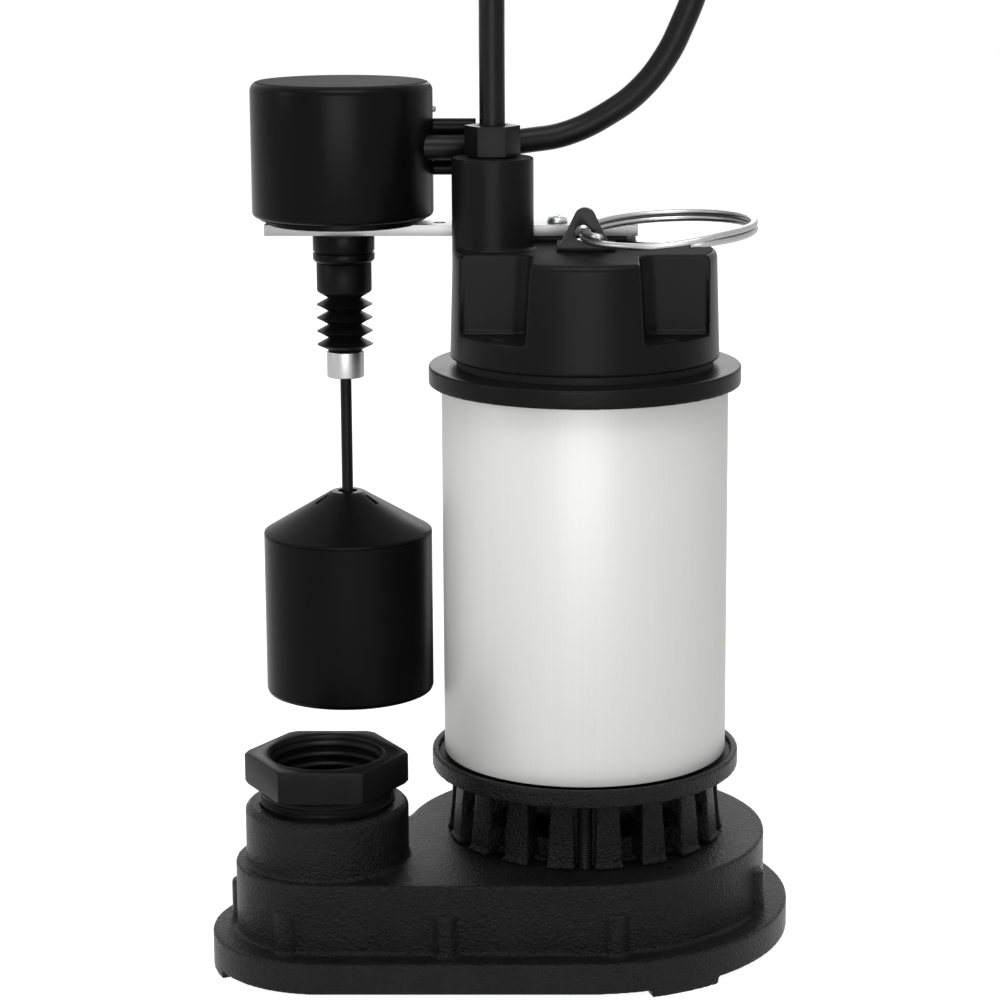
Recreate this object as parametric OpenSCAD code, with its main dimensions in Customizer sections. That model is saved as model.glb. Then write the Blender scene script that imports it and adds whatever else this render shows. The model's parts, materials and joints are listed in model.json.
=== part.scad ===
// Submersible sump pump with a vertical float switch.
// A cast volute stands on short feet, the motor in its steel tube stands on a finned strainer,
// and the switch hangs on a bar beside the cap. +Z is up and the front looks towards -Y.

/* [Volute casing] */
// Radius of the casing wall round the motor axis
volute_r = 79.5; // [76:0.5:84]
// Radius of the casing wall round the discharge axis
outlet_r = 39.5; // [38.5:0.5:42]
// Distance of the discharge axis left of the motor axis
outlet_x = 111; // [108:1:120]
// Width of the flange outside the casing wall
flange_w = 10.5; // [9:0.5:13]
// Thickness of the casing wall
wall_t = 5; // [4:0.5:6]
// Height of the casing deck above the floor
deck_z = 47; // [45:0.5:52]
// Thickness of the casing deck
deck_t = 5; // [4:0.5:6.5]
// Height of the flange's upper face above the floor
flange_z = 16.5; // [15:0.5:18]
// Height of the feet
foot_h = 3; // [2:0.5:4]
// Radius of the screw bosses on the wall
boss_r = 5.4; // [5:0.1:6]
// Height of the boss tops above the floor
boss_z = 35; // [30:0.5:38]
// Radius of the suction eye in the deck
eye_r = 36; // [34:0.5:38]
// Thickness of the spiral wall inside the casing
spiral_t = 4; // [3:0.5:5]

/* [Base plate] */
// Thickness of the base plate
plate_t = 6; // [5:0.5:6.5]
// Thickness of the base gasket
gasket_t = 1; // [0.8:0.1:1.5]
// Radius of the base screws' thread
base_screw_r = 2.5; // [2.5:0.1:2.6]

/* [Discharge] */
// Outer radius of the round collar on the deck
collar_r = 35; // [34:0.5:36.5]
// Height of the collar's top above the floor
collar_z = 72; // [68:0.5:74]
// Radius of the adapter's threaded neck
neck_r = 28.5; // [28:0.25:29]
// Width across flats of the adapter's hexagon
hex_af = 61; // [60:0.5:64]
// Height of the adapter's hexagon
hex_h = 13.7; // [12:0.1:16]
// Distance from the collar's top to the hexagon
neck_gap = 7.8; // [6:0.1:10]
// Bore radius of the adapter, a 1-1/2 inch pipe thread
mouth_r = 24.1; // [23:0.1:24.5]

/* [Strainer] */
// Number of fins
fin_n = 18; // [16:2:20]
// How far the fins' foot stands inside the motor tube's face
fin_in = 1.8; // [1:0.1:2.5]
// How far the fins' top stands inside the motor tube's face
fin_top_in = 4.2; // [3:0.1:5]
// Width of a fin at its foot
fin_w = 12; // [10:0.5:13]
// Width of a fin at its top
fin_top_w = 9.5; // [8:0.5:10.5]
// Height of the strainer from the deck to the lip ring
strainer_h = 30; // [28:0.5:34]
// How far the strainer's inner wall stands inside the motor tube's face
screen_in = 12; // [11:0.5:13]
// Thickness of the strainer's inner wall
screen_t = 4; // [3:0.5:5]
// Diameter of the ports in the inner wall
port_d = 11; // [9:0.5:11.5]
// How far the lip ring stands out past the motor tube
lip_w = 5.5; // [4.5:0.1:7]
// Height of the lip ring
lip_h = 7.6; // [7:0.1:10]
// Radius of the support screws' thread
support_screw_r = 3; // [2.8:0.1:3]

/* [Motor] */
// Outer radius of the motor tube
tube_r = 62; // [61.8:0.1:62.4]
// Wall of the motor tube
tube_t = 1.5; // [1.2:0.1:1.8]
// Length of tube that shows between the lip ring and the end bell
tube_l = 163.2; // [155:0.2:190]
// Height of the stator's lamination stack
stator_h = 80; // [60:1:88]
// Radius of the stator's bore
stator_bore_r = 31; // [28:0.5:33]
// Radial gap between the stator and the rotor
air_gap = 0.5; // [0.3:0.1:0.8]
// Number of stator slots
slot_n = 24; // [24:12:24]
// How far the tie bolts stand inside the motor tube's face
bolt_in = 10; // [9.6:0.1:11]
// Radius of a tie bolt
bolt_r = 2.5; // [2:0.1:2.6]
// Shaft radius at the bearings
journal_r = 8.5; // [8:0.1:9]
// Shaft radius at the impeller
spigot_r = 6.35; // [6:0.05:7]

/* [Bearings] */
// Outer radius of a bearing
bearing_r = 20; // [19:0.5:21]
// Width of a bearing
bearing_w = 12; // [11:0.5:13]
// Ball radius
ball_r = 3.4; // [3:0.1:3.5]
// Number of balls
ball_n = 8; // [7:1:8]

/* [Impeller] */
// Impeller radius
impeller_r = 54; // [50:0.5:55]
// Number of vanes
vane_n = 6; // [5:1:7]
// Height of the vanes over the shroud
vane_h = 14; // [10:0.5:15]
// Thickness of a vane
vane_t = 3; // [2.5:0.1:4]

/* [Top cap] */
// How far the cap's foot stands inside the motor tube's face
cap_in = 3.9; // [3:0.1:4.5]
// How far the cap's top stands inside the motor tube's face
cap_top_in = 5.2; // [4.6:0.1:5.5]
// Height of the cap
cap_h = 46.4; // [44:0.2:52]
// Height of the dark neck below the cap
cap_neck_h = 3.4; // [3:0.1:5]
// How far the end bell's ring stands out past the motor tube
ring_w = 5.5; // [4:0.1:7]
// Height of the end bell's ring
ring_h = 8.1; // [7.5:0.1:11]
// Wall of the cap
cap_t = 3.5; // [3:0.5:4]
// Depth of the bolt pockets below the deck
pocket_h = 34; // [30:0.5:36]
// Half width of the land between two pockets at the deck
land_w = 22.6; // [21:0.2:24]
// Distance of the pockets' back wall from the motor axis
pocket_y = 21; // [19:0.5:22]
// Radius of the cord tower
tower_r = 17.6; // [17:0.1:18]
// Height of the cord tower above the cap's deck
tower_h = 39; // [34:0.5:44]

/* [Cord gland] */
// Width across flats of the gland nut
gland_af = 20.7; // [20:0.1:22]
// Height of the gland nut
gland_h = 13.5; // [12:0.5:15]
// Diameter of both cords
cord_d = 11; // [11:0.1:11]

/* [Lift ear and ring] */
// Height of the ear
ear_h = 19; // [18.5:0.1:20]
// Half width of the ear at its foot
ear_w = 12; // [11:0.5:13]
// Thickness of the ear
ear_t = 2.5; // [2:0.1:3]
// Radius of the hole in the ear
ear_hole_r = 3.6; // [3.6:0.1:3.8]
// Radius of the ring to the middle of its wire
lift_r = 36.4; // [36:0.2:36.6]
// Width of the ring's wire
wire_w = 3; // [2.6:0.1:3.1]
// Thickness of the ring's wire
wire_t = 2.6; // [2.2:0.1:2.7]

/* [Switch bracket] */
// Length of the bar
bar_l = 163; // [160:1:168]
// Width of the bar
bar_w = 18; // [17:0.5:20]
// Depth of the bar over its lips
bar_h = 4.8; // [4.5:0.1:6]
// Sheet thickness of the bar
bar_t = 1.8; // [1.5:0.1:2.2]
// Thickness of the pad under the bar
pad_t = 2.6; // [2:0.1:4]
// Distance between the bracket screws
bar_pitch = 24.2; // [23:0.2:26]

/* [Float switch] */
// Radius of the switch housing
switch_r = 39.7; // [38.5:0.1:40.5]
// Height of the switch housing
switch_h = 59.8; // [58:0.2:62]
// Height of the seat between the bar and the housing
switch_seat_h = 2.2; // [1.6:0.1:3]
// Radius of the lock nut
locknut_r = 13.6; // [13:0.1:14.5]
// Height of the lock nut
locknut_h = 12.5; // [11:0.5:14]
// Radius of the boot's collar
boot_r = 12.3; // [11.5:0.1:13]
// Length of the boot's collar
boot_collar_h = 13.3; // [12:0.1:15]
// Length of the boot's folds
boot_fold_h = 26.2; // [24:0.1:27]
// Number of folds
fold_n = 4; // [4:1:5]
// Radius of the metal ferrule
ferrule_r = 8.2; // [7.8:0.1:8.8]
// Height of the ferrule
ferrule_h = 11.8; // [11:0.1:13]
// Radius of the float rod
rod_r = 2.5; // [2.3:0.1:2.7]
// Free rod between the ferrule and the float at rest
rod_free = 51.6; // [50:0.1:54]
// Radius of the float
float_r = 37.5; // [36.5:0.1:38]
// Height of the float's round body
float_h = 73.2; // [70:0.2:74]
// Height of the float's cone
cone_h = 18.3; // [17:0.1:20]
// Wall of the float
float_t = 2; // [1.6:0.1:2.6]

/* [Hidden] */
$fn = 96;
eps = 0.01;
lap = 1;
running_gap = 0.3;
face_gap = 0.05;

// Places that follow from the sizes above
lip_r = tube_r + lip_w;
cap_r = tube_r - cap_in;
cap_top_r = tube_r - cap_top_in;
ring_r = tube_r + ring_w;
bolt_circle_r = tube_r - bolt_in;
fin_r = tube_r - fin_in;
fin_top_r = tube_r - fin_top_in;
screen_r = tube_r - screen_in;
flange_r = volute_r + flange_w;
small_flange_r = outlet_r + flange_w;
outlet_y = -(volute_r - outlet_r);
motor_x = (outlet_x + small_flange_r - flange_r) / 2;
blend_r = 26;
blend_lap = 0.1;
centre_gap = norm([outlet_x, outlet_y]);

// Heights of the stack, from the floor up
rebate_w = 4.2;
plate_gap = 0.5;
plate_z = foot_h + 2;
gasket_z = plate_z + plate_t;
seat_z = gasket_z + gasket_t;
chamber_z = deck_z - deck_t;
hex_z = collar_z + neck_gap;
lip_z = deck_z + strainer_h;
tube_z = lip_z + lip_h;
ring_z = tube_z + tube_l;
neck_z = ring_z + ring_h;
cap_z = neck_z + cap_neck_h;
cap_deck_z = cap_z + cap_h;
tower_z = cap_deck_z + tower_h;
gland_z = tower_z + gland_h;

module at_motor() translate([motor_x, 0, 0]) children();
module at_outlet() translate([motor_x - outlet_x, outlet_y, 0]) children();

// A circle of radius r at the motor axis, one at the discharge, the straight front that touches both,
// and a hollow blend at the back. A positive inset moves the whole outline inwards.
module casing_outline(inset) {
    r_big = volute_r - inset;
    r_small = outlet_r - inset;
    to_big = volute_r + blend_r - blend_lap;
    to_small = outlet_r + blend_r - blend_lap;
    base_angle = atan2(outlet_y, -outlet_x);
    corner = acos((to_big * to_big + centre_gap * centre_gap - to_small * to_small)
        / (2 * to_big * centre_gap));
    blend_at = to_big * [cos(base_angle - corner), sin(base_angle - corner)];
    outlet_at = [-outlet_x, outlet_y];
    circle(r = r_big);
    translate(outlet_at) circle(r = r_small);
    polygon([[0, 0], outlet_at, [-outlet_x, -r_big], [0, -r_big]]);
    difference() {
        polygon([[0, 0], blend_at, outlet_at]);
        translate(blend_at) circle(r = blend_r + inset);
    }
}

module casing_slab(inset, z0, z1)
    translate([motor_x, 0, z0]) linear_extrude(z1 - z0) casing_outline(inset);

// Screw places: angles round the motor axis and the discharge, measured from the front
boss_in = 2;
big_boss_angles = [9.7, 71.3, 132, 186];
small_boss_angles = [-23, -98];
front_boss_x = 58.7;
screw_in = 1;
module at_bosses(into) {
    for (a = big_boss_angles)
        at_motor() rotate(a) translate([0, -(volute_r - into), 0]) children();
    for (a = small_boss_angles)
        at_outlet() rotate(a) translate([0, -(outlet_r - into), 0]) children();
    translate([motor_x - front_boss_x, -(volute_r - into), 0]) children();
}

// Feet: short arcs of the flange left standing
big_foot_angles = [29, 151, -151];
big_foot_arc = 21;
small_foot_angle = -78;
small_foot_arc = 34;
module foot_sector(r, a, arc) {
    far = 2 * r;
    half = arc / 2;
    rotate(a) polygon([[0, 0], far * [-sin(half), -cos(half)], far * [sin(half), -cos(half)]]);
}
module feet() {
    rim = flange_w - rebate_w - 0.5;
    linear_extrude(foot_h + lap) {
        at_motor_2d() for (a = big_foot_angles) intersection() {
            ring_2d(flange_r, flange_r - rim);
            foot_sector(flange_r, a, big_foot_arc);
        }
        at_outlet_2d() intersection() {
            ring_2d(small_flange_r, small_flange_r - rim);
            foot_sector(small_flange_r, small_foot_angle, small_foot_arc);
        }
    }
}
module at_motor_2d() translate([motor_x, 0]) children();
module at_outlet_2d() translate([motor_x - outlet_x, outlet_y]) children();
module ring_2d(r_out, r_in) difference() {
    circle(r = r_out);
    circle(r = r_in);
}

// Spiral wall of the volute: it opens clockwise, seen from above, from the tongue to the front
spiral_start_r = impeller_r + 5;
spiral_end_r = volute_r - wall_t + 0.5;
spiral_from = 192;
spiral_sweep = 268;
spiral_steps = 36;
function spiral_point(i, extra) = let (t = i / spiral_steps,
    r = spiral_start_r + (spiral_end_r - spiral_start_r) * t + extra,
    a = spiral_from - spiral_sweep * t) r * [cos(a), sin(a)];
module spiral_wall() translate([motor_x, 0, seat_z]) linear_extrude(chamber_z - seat_z + lap) intersection() {
    polygon([for (i = [0 : spiral_steps]) spiral_point(i, 0),
        for (i = [spiral_steps : -1 : 0]) spiral_point(i, spiral_t)]);
    casing_outline(wall_t / 2);
}

support_screw_angles = [0, 120, 240];
support_screw_at = screen_r + 4;
module at_support_screws()
    at_motor() for (a = support_screw_angles) rotate(a) translate([0, -support_screw_at, 0]) children();

collar_chamfer = 2;
boss_chamfer = 1;
module volute_casing() color([0.11, 0.11, 0.115]) difference() {
    union() {
        difference() {
            union() {
                casing_slab(-flange_w, foot_h, flange_z);
                casing_slab(0, foot_h + lap, deck_z);
                at_outlet() rotate_extrude() polygon([[0, deck_z - lap], [collar_r, deck_z - lap],
                    [collar_r, collar_z - collar_chamfer], [collar_r - collar_chamfer, collar_z], [0, collar_z]]);
                at_bosses(boss_in) rotate_extrude() polygon([[0, flange_z - lap], [boss_r, flange_z - lap],
                    [boss_r, boss_z - boss_chamfer], [boss_r - boss_chamfer, boss_z], [0, boss_z]]);
            }
            casing_slab(wall_t, foot_h, chamber_z);
            casing_slab(-rebate_w, foot_h - lap, seat_z);
        }
        spiral_wall();
        feet();
    }
    at_motor() translate([0, 0, chamber_z - 1]) cylinder(r = eye_r, h = deck_t + 2);
    at_outlet() translate([0, 0, chamber_z - 1]) cylinder(r = neck_r, h = collar_z - chamber_z + 2);
    at_bosses(screw_in) translate([0, 0, seat_z - 1]) cylinder(r = base_screw_r, h = boss_z - seat_z - 4);
    at_support_screws() translate([0, 0, chamber_z - 1]) cylinder(r = support_screw_r, h = deck_t + 2);
}

// Base plate, recessed in the flange, with cast ribs on its underside
rib_h = 1.6;
rib_w = 3;
module base_plate() color([0.13, 0.13, 0.135]) difference() {
    union() {
        casing_slab(-rebate_w + plate_gap, plate_z, gasket_z);
        intersection() {
            at_motor() translate([0, 0, plate_z - rib_h]) linear_extrude(rib_h + lap) {
                circle(r = 2 * rib_w);
                for (a = [0 : 45 : 135]) rotate(a) square([4 * volute_r, rib_w], center = true);
            }
            casing_slab(wall_t + 2, 0, plate_z + 2 * lap);
        }
    }
    at_bosses(screw_in) translate([0, 0, 0]) cylinder(r = base_screw_r + running_gap, h = flange_z);
}

module base_gasket() color([0.05, 0.05, 0.05]) difference() {
    casing_slab(-rebate_w + plate_gap, gasket_z, seat_z);
    casing_slab(wall_t + 3, gasket_z - 1, seat_z + 1);
    at_bosses(screw_in) translate([0, 0, gasket_z - 1]) cylinder(r = base_screw_r + running_gap, h = gasket_t + 2);
}

base_head_r = 4.2;
base_head_h = 1.8;
module base_screws() color([0.55, 0.56, 0.58]) at_bosses(screw_in) {
    translate([0, 0, plate_z - base_head_h]) cylinder(r = base_head_r, h = base_head_h);
    translate([0, 0, plate_z - eps]) cylinder(r = base_screw_r - face_gap, h = boss_z - plate_z - 8);
}

// Discharge adapter: hexagon over a threaded neck, with the 1-1/2 inch mouth
neck_in = 18;
hex_corner_r = hex_af / sqrt(3);
hex_chamfer = 1.6;
mouth_chamfer = 1;
module discharge_adapter() color([0.09, 0.09, 0.095]) at_outlet() difference() {
    union() {
        intersection() {
            translate([0, 0, hex_z]) cylinder(r = hex_corner_r, h = hex_h, $fn = 6);
            translate([0, 0, hex_z]) rotate_extrude() polygon([[0, 0], [hex_corner_r - hex_chamfer, 0],
                [hex_corner_r, hex_chamfer * 0.6], [hex_corner_r, hex_h - hex_chamfer * 0.6],
                [hex_corner_r - hex_chamfer, hex_h], [0, hex_h]]);
        }
        translate([0, 0, collar_z - neck_in]) cylinder(r = neck_r - face_gap, h = hex_z + eps - collar_z + neck_in);
    }
    translate([0, 0, collar_z - neck_in - 1]) cylinder(r = mouth_r, h = 2 * hex_z);
    translate([0, 0, hex_z + hex_h - mouth_chamfer])
        cylinder(r1 = mouth_r, r2 = mouth_r + mouth_chamfer + eps, h = mouth_chamfer + eps);
}

// Motor support: finned strainer, lip ring, hub for the shaft seal and seat of the lower bearing
foot_ring_r = fin_r + 0.9;
foot_ring_h = 2;
floor_t = 4;
lip_t = 3.2;
hub_r = 25;
hub_z = deck_z + 8;
seat_r = 15.8;
seat_t = 5.5;
shaft_hole_r = journal_r + 1;
fin_pitch = 360 / fin_n;
lower_bearing_z = lip_z + floor_t + 1.5;
bearing_wall = 5;
bearing_hub_h = lower_bearing_z + bearing_w - lip_z - 2;
groove_z = lip_z + floor_t + 0.5;
tie_boss_r = 5.5;
tie_boss_h = 9;
module at_bolts()
    at_motor() for (a = [45 : 90 : 315]) rotate(a) translate([bolt_circle_r, 0, 0]) children();
module fin() translate([0, -screen_r + screen_t / 2, 0]) rotate([90, 0, 0])
    linear_extrude(fin_r) polygon([[-fin_w / 2, deck_z + foot_ring_h - eps], [fin_w / 2, deck_z + foot_ring_h - eps],
        [fin_top_w / 2, lip_z + eps], [-fin_top_w / 2, lip_z + eps]]);
module strainer_cage() {
    translate([0, 0, deck_z]) cylinder(r = foot_ring_r, h = foot_ring_h);
    intersection() {
        union() for (i = [0 : fin_n - 1]) rotate((i + 0.5) * fin_pitch) fin();
        translate([0, 0, deck_z + foot_ring_h - eps])
            cylinder(r1 = fin_r, r2 = fin_top_r, h = strainer_h - foot_ring_h + 2 * eps);
    }
    translate([0, 0, deck_z + eps]) cylinder(r = screen_r, h = strainer_h);
    for (a = support_screw_angles) rotate(a) translate([0, -support_screw_at, deck_z + eps])
        cylinder(r = support_screw_r + 2, h = strainer_h);
}
module motor_support() color([0.1, 0.1, 0.105]) difference() {
    union() {
        at_motor() difference() {
            strainer_cage();
            translate([0, 0, deck_z - 1]) cylinder(r = screen_r - screen_t, h = strainer_h + 1);
            for (i = [0 : fin_n - 1])
                if (len([for (a = support_screw_angles) if (abs(a - i * fin_pitch) < 1) a]) == 0)
                    rotate(i * fin_pitch) translate([0, -screen_r + screen_t + 2, deck_z + strainer_h / 2 + 0.5])
                        rotate([90, 0, 0]) cylinder(d = port_d, h = 2 * screen_t + 4);
        }
        at_motor() {
            translate([0, 0, lip_z]) cylinder(r = lip_r, h = lip_h);
            translate([0, 0, hub_z]) cylinder(r = hub_r, h = lip_z - hub_z + eps);
            translate([0, 0, lip_z + 1]) cylinder(r = bearing_r + bearing_wall, h = bearing_hub_h);
        }
    }
    at_motor() {
        difference() {
            translate([0, 0, groove_z]) cylinder(r = lip_r - lip_t, h = lip_h);
            translate([0, 0, groove_z - 1]) cylinder(r = bearing_r + bearing_wall, h = lip_h + 2);
            for (a = [45 : 90 : 315]) rotate(a) translate([bolt_circle_r, 0, groove_z - 1])
                cylinder(r = tie_boss_r, h = lip_h + 2);
        }
        translate([0, 0, lower_bearing_z]) cylinder(r = bearing_r, h = lip_h + bearing_w);
        translate([0, 0, hub_z - 1]) cylinder(r = seat_r, h = seat_t + 1);
        translate([0, 0, hub_z - 2]) cylinder(r = shaft_hole_r, h = lip_h + strainer_h);
    }
    at_bolts() translate([0, 0, lip_z - 1]) cylinder(r = bolt_r, h = lip_h + 2);
    at_support_screws() translate([0, 0, deck_z - 1]) cylinder(r = support_screw_r + running_gap, h = strainer_h + lip_h);
}

support_head_r = 5;
support_head_h = 3;
module support_screws() color([0.6, 0.61, 0.63]) at_support_screws() {
    translate([0, 0, groove_z]) cylinder(r = support_head_r, h = support_head_h);
    translate([0, 0, chamber_z + 0.5]) cylinder(r = support_screw_r - face_gap, h = groove_z - chamber_z);
}

// Shaft seal between the hub and the impeller
impeller_z = seat_z + 4;
shroud_t = 3.5;
hub_top_z = impeller_z + shroud_t + vane_h + 2;
seal_face_z = hub_z;
rotary_h = 6;
module seal_seat() color([0.86, 0.85, 0.8]) at_motor() translate([0, 0, seal_face_z]) difference() {
    cylinder(r = seat_r - face_gap, h = seat_t - face_gap);
    translate([0, 0, -1]) cylinder(r = shaft_hole_r, h = seat_t + 2);
}
module seal_rotary() color([0.2, 0.2, 0.21]) at_motor() translate([0, 0, seal_face_z - rotary_h]) difference() {
    union() {
        cylinder(r = 14.2, h = rotary_h - 2);
        cylinder(r = 12.4, h = rotary_h - face_gap);
    }
    translate([0, 0, -1]) cylinder(r = spigot_r + face_gap, h = rotary_h + 2);
}

// A tube swept along points, closed at both ends
function unit(v) = v / norm(v);
function along(p, i) = unit(p[min(i + 1, len(p) - 1)] - p[max(i - 1, 0)]);
function side_of(t) = unit(abs(t[2]) > 0.9 ? cross(t, [1, 0, 0]) : cross(t, [0, 0, 1]));
// The first side is carried along the path, so that the rings don't twist
function carry(t, s) = unit(s - (s * t) * t);
function sides(p, i = 0, s = undef) = i >= len(p) ? [] :
    let (n = carry(along(p, i), s == undef ? side_of(along(p, 0)) : s)) concat([n], sides(p, i + 1, n));
module swept(path, section) {
    n = len(section);
    s = sides(path);
    pts = [for (i = [0 : len(path) - 1]) let (b = cross(along(path, i), s[i]))
        for (q = section) path[i] + q[0] * s[i] + q[1] * b];
    polyhedron(points = pts, faces = concat([[for (j = [0 : n - 1]) j]],
        [for (i = [0 : len(path) - 2]) for (j = [0 : n - 1]) let (k = (j + 1) % n)
            [i * n + j, (i + 1) * n + j, (i + 1) * n + k]],
        [for (i = [0 : len(path) - 2]) for (j = [0 : n - 1]) let (k = (j + 1) % n)
            [i * n + j, (i + 1) * n + k, i * n + k]],
        [[for (j = [n - 1 : -1 : 0]) (len(path) - 1) * n + j]]));
}
function round_section(r, n) = [for (j = [0 : n - 1]) r * [cos(360 * j / n), sin(360 * j / n)]];

spring_turns = 3;
spring_wire_r = 0.9;
spring_r = 11.5;
module seal_spring() color([0.75, 0.75, 0.77]) at_motor() {
    z0 = hub_top_z + spring_wire_r + 0.1;
    z1 = seal_face_z - rotary_h - spring_wire_r - 0.1;
    steps = 16 * spring_turns;
    swept([for (i = [0 : steps]) let (t = i / steps) [spring_r * cos(360 * spring_turns * t),
        spring_r * sin(360 * spring_turns * t), z0 + (z1 - z0) * t]], round_section(spring_wire_r, 6));
}

// Impeller: round shroud, hub and backward curved vanes, open towards the suction eye
hub_wall = 4.5;
vane_centre = 26;
vane_arc_r = 30;
vane_tip_gap = 0.5;
module vane() intersection() {
    translate([vane_centre, 0]) ring_2d(vane_arc_r + vane_t / 2, vane_arc_r - vane_t / 2);
    translate([-2 * impeller_r, -4 * impeller_r]) square(4 * impeller_r);
    circle(r = impeller_r - vane_tip_gap);
}
module impeller() color([0.16, 0.16, 0.17]) at_motor() difference() {
    union() {
        translate([0, 0, impeller_z]) cylinder(r = impeller_r, h = shroud_t);
        translate([0, 0, impeller_z + shroud_t - lap]) linear_extrude(vane_h + lap)
            for (i = [0 : vane_n - 1]) rotate(i * 360 / vane_n) vane();
        translate([0, 0, impeller_z]) cylinder(r = spigot_r + hub_wall, h = hub_top_z - impeller_z);
    }
    translate([0, 0, impeller_z - 1]) cylinder(r = spigot_r + face_gap, h = 2 * hub_top_z);
}
nut_h = 3.5;
shaft_stub = 0.3;
module impeller_nut() color([0.7, 0.7, 0.72]) at_motor() translate([0, 0, impeller_z - nut_h - face_gap]) difference() {
    cylinder(r = 9.5, h = nut_h, $fn = 6);
    translate([0, 0, -1]) cylinder(r = spigot_r - 1, h = nut_h + 2);
}

// Motor
seal_t = 1;
tube_bottom_z = groove_z + seal_t;
bell_groove = 3;
tube_top_z = ring_z + bell_groove - seal_t;
module motor_tube() color([0.83, 0.83, 0.82]) at_motor() translate([0, 0, tube_bottom_z]) difference() {
    cylinder(r = tube_r, h = tube_top_z - tube_bottom_z);
    translate([0, 0, -1]) cylinder(r = tube_r - tube_t, h = tube_top_z);
}
module tube_seal_lower() color([0.04, 0.04, 0.04]) at_motor() translate([0, 0, groove_z]) difference() {
    cylinder(r = lip_r - lip_t - 0.1, h = seal_t);
    translate([0, 0, -1]) cylinder(r = tube_r - tube_t, h = seal_t + 2);
}
module tube_seal_upper() color([0.04, 0.04, 0.04]) at_motor() translate([0, 0, tube_top_z]) difference() {
    cylinder(r = tube_r, h = seal_t);
    translate([0, 0, -1]) cylinder(r = tube_r - tube_t, h = seal_t + 2);
}

stator_gap = 0.1;
stator_lift = 34;
stator_z = tube_z + stator_lift;
stator_r = tube_r - tube_t - stator_gap;
slot_in_r = stator_bore_r + 1.5;
slot_web = 14.4;
slot_out_r = stator_r - slot_web;
slot_w = 4;
module stator_core() color([0.35, 0.36, 0.38]) difference() {
    at_motor() translate([0, 0, stator_z]) linear_extrude(stator_h) difference() {
        ring_2d(stator_r, stator_bore_r);
        for (i = [0 : slot_n - 1]) rotate(i * 360 / slot_n)
            translate([slot_in_r, -slot_w / 2]) square([slot_out_r - slot_in_r, slot_w]);
    }
    at_bolts() translate([0, 0, stator_z - 1]) cylinder(r = bolt_r + running_gap, h = stator_h + 2);
}
winding_h = 20;
module winding_profile() {
    corner = 4;
    w = slot_out_r - slot_in_r - 3;
    translate([slot_in_r + 1.5, 0]) {
        translate([0, corner]) square([w, winding_h - 2 * corner]);
        translate([corner, 0]) square([w - 2 * corner, winding_h]);
        for (x = [corner, w - corner], z = [corner, winding_h - corner]) translate([x, z]) circle(r = corner - eps);
    }
}
module windings(z) color([0.62, 0.32, 0.16]) at_motor() translate([0, 0, z]) rotate_extrude() winding_profile();
module windings_lower() windings(stator_z - winding_h);
module windings_upper() windings(stator_z + stator_h);

rotor_r = stator_bore_r - air_gap;
rotor_shaft_r = journal_r + 1;
end_ring_h = 7;
module rotor_core() color([0.4, 0.41, 0.43]) at_motor() translate([0, 0, stator_z]) difference() {
    cylinder(r = rotor_r, h = stator_h);
    translate([0, 0, -1]) cylinder(r = rotor_shaft_r, h = stator_h + 2);
}
module rotor_end_rings() color([0.75, 0.76, 0.78]) at_motor()
    for (z = [stator_z - end_ring_h, stator_z + stator_h]) translate([0, 0, z]) difference() {
        cylinder(r = rotor_r - 1, h = end_ring_h);
        translate([0, 0, -1]) cylinder(r = rotor_r - 10, h = end_ring_h + 2);
    }

bell_web = 5;
upper_bearing_top = ring_z - 4;
upper_bearing_z = upper_bearing_top - bearing_w;
shaft_bottom_z = impeller_z - nut_h - shaft_stub;
shaft_top_z = upper_bearing_top + 2;
module shaft() color([0.72, 0.73, 0.75]) at_motor() rotate_extrude() polygon([[0, shaft_bottom_z],
    [spigot_r - 1, shaft_bottom_z], [spigot_r - 1, impeller_z], [spigot_r, impeller_z],
    [spigot_r, seal_face_z + 0.5], [journal_r, seal_face_z + 1.5], [journal_r, lower_bearing_z + bearing_w],
    [rotor_shaft_r, lower_bearing_z + bearing_w], [rotor_shaft_r, upper_bearing_z],
    [journal_r, upper_bearing_z], [journal_r, shaft_top_z], [0, shaft_top_z]]);

// Deep groove ball bearings
race_t = 3.6;
pitch_r = (journal_r + bearing_r) / 2;
groove_r = ball_r + 0.12;
module outer_race(z) color([0.66, 0.67, 0.7]) at_motor() translate([0, 0, z]) rotate_extrude() difference() {
    translate([bearing_r - race_t, 0]) square([race_t - face_gap, bearing_w]);
    translate([pitch_r, bearing_w / 2]) circle(r = groove_r);
}
module inner_race(z) color([0.66, 0.67, 0.7]) at_motor() translate([0, 0, z]) rotate_extrude() difference() {
    translate([journal_r, 0]) square([race_t, bearing_w]);
    translate([pitch_r, bearing_w / 2]) circle(r = groove_r);
}
module balls(z) color([0.8, 0.8, 0.82]) at_motor() translate([0, 0, z + bearing_w / 2]) {
    for (i = [0 : ball_n - 1]) rotate(i * 360 / ball_n) translate([pitch_r, 0, 0]) sphere(r = ball_r, $fn = 32);
    difference() {
        translate([0, 0, -1]) cylinder(r = pitch_r + 1, h = 2);
        translate([0, 0, -2]) cylinder(r = pitch_r - 1, h = 4);
    }
}
module lower_bearing_outer() outer_race(lower_bearing_z);
module lower_bearing_inner() inner_race(lower_bearing_z);
module lower_bearing_balls() balls(lower_bearing_z);
module upper_bearing_outer() outer_race(upper_bearing_z);
module upper_bearing_inner() inner_race(upper_bearing_z);
module upper_bearing_balls() balls(upper_bearing_z);

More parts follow.
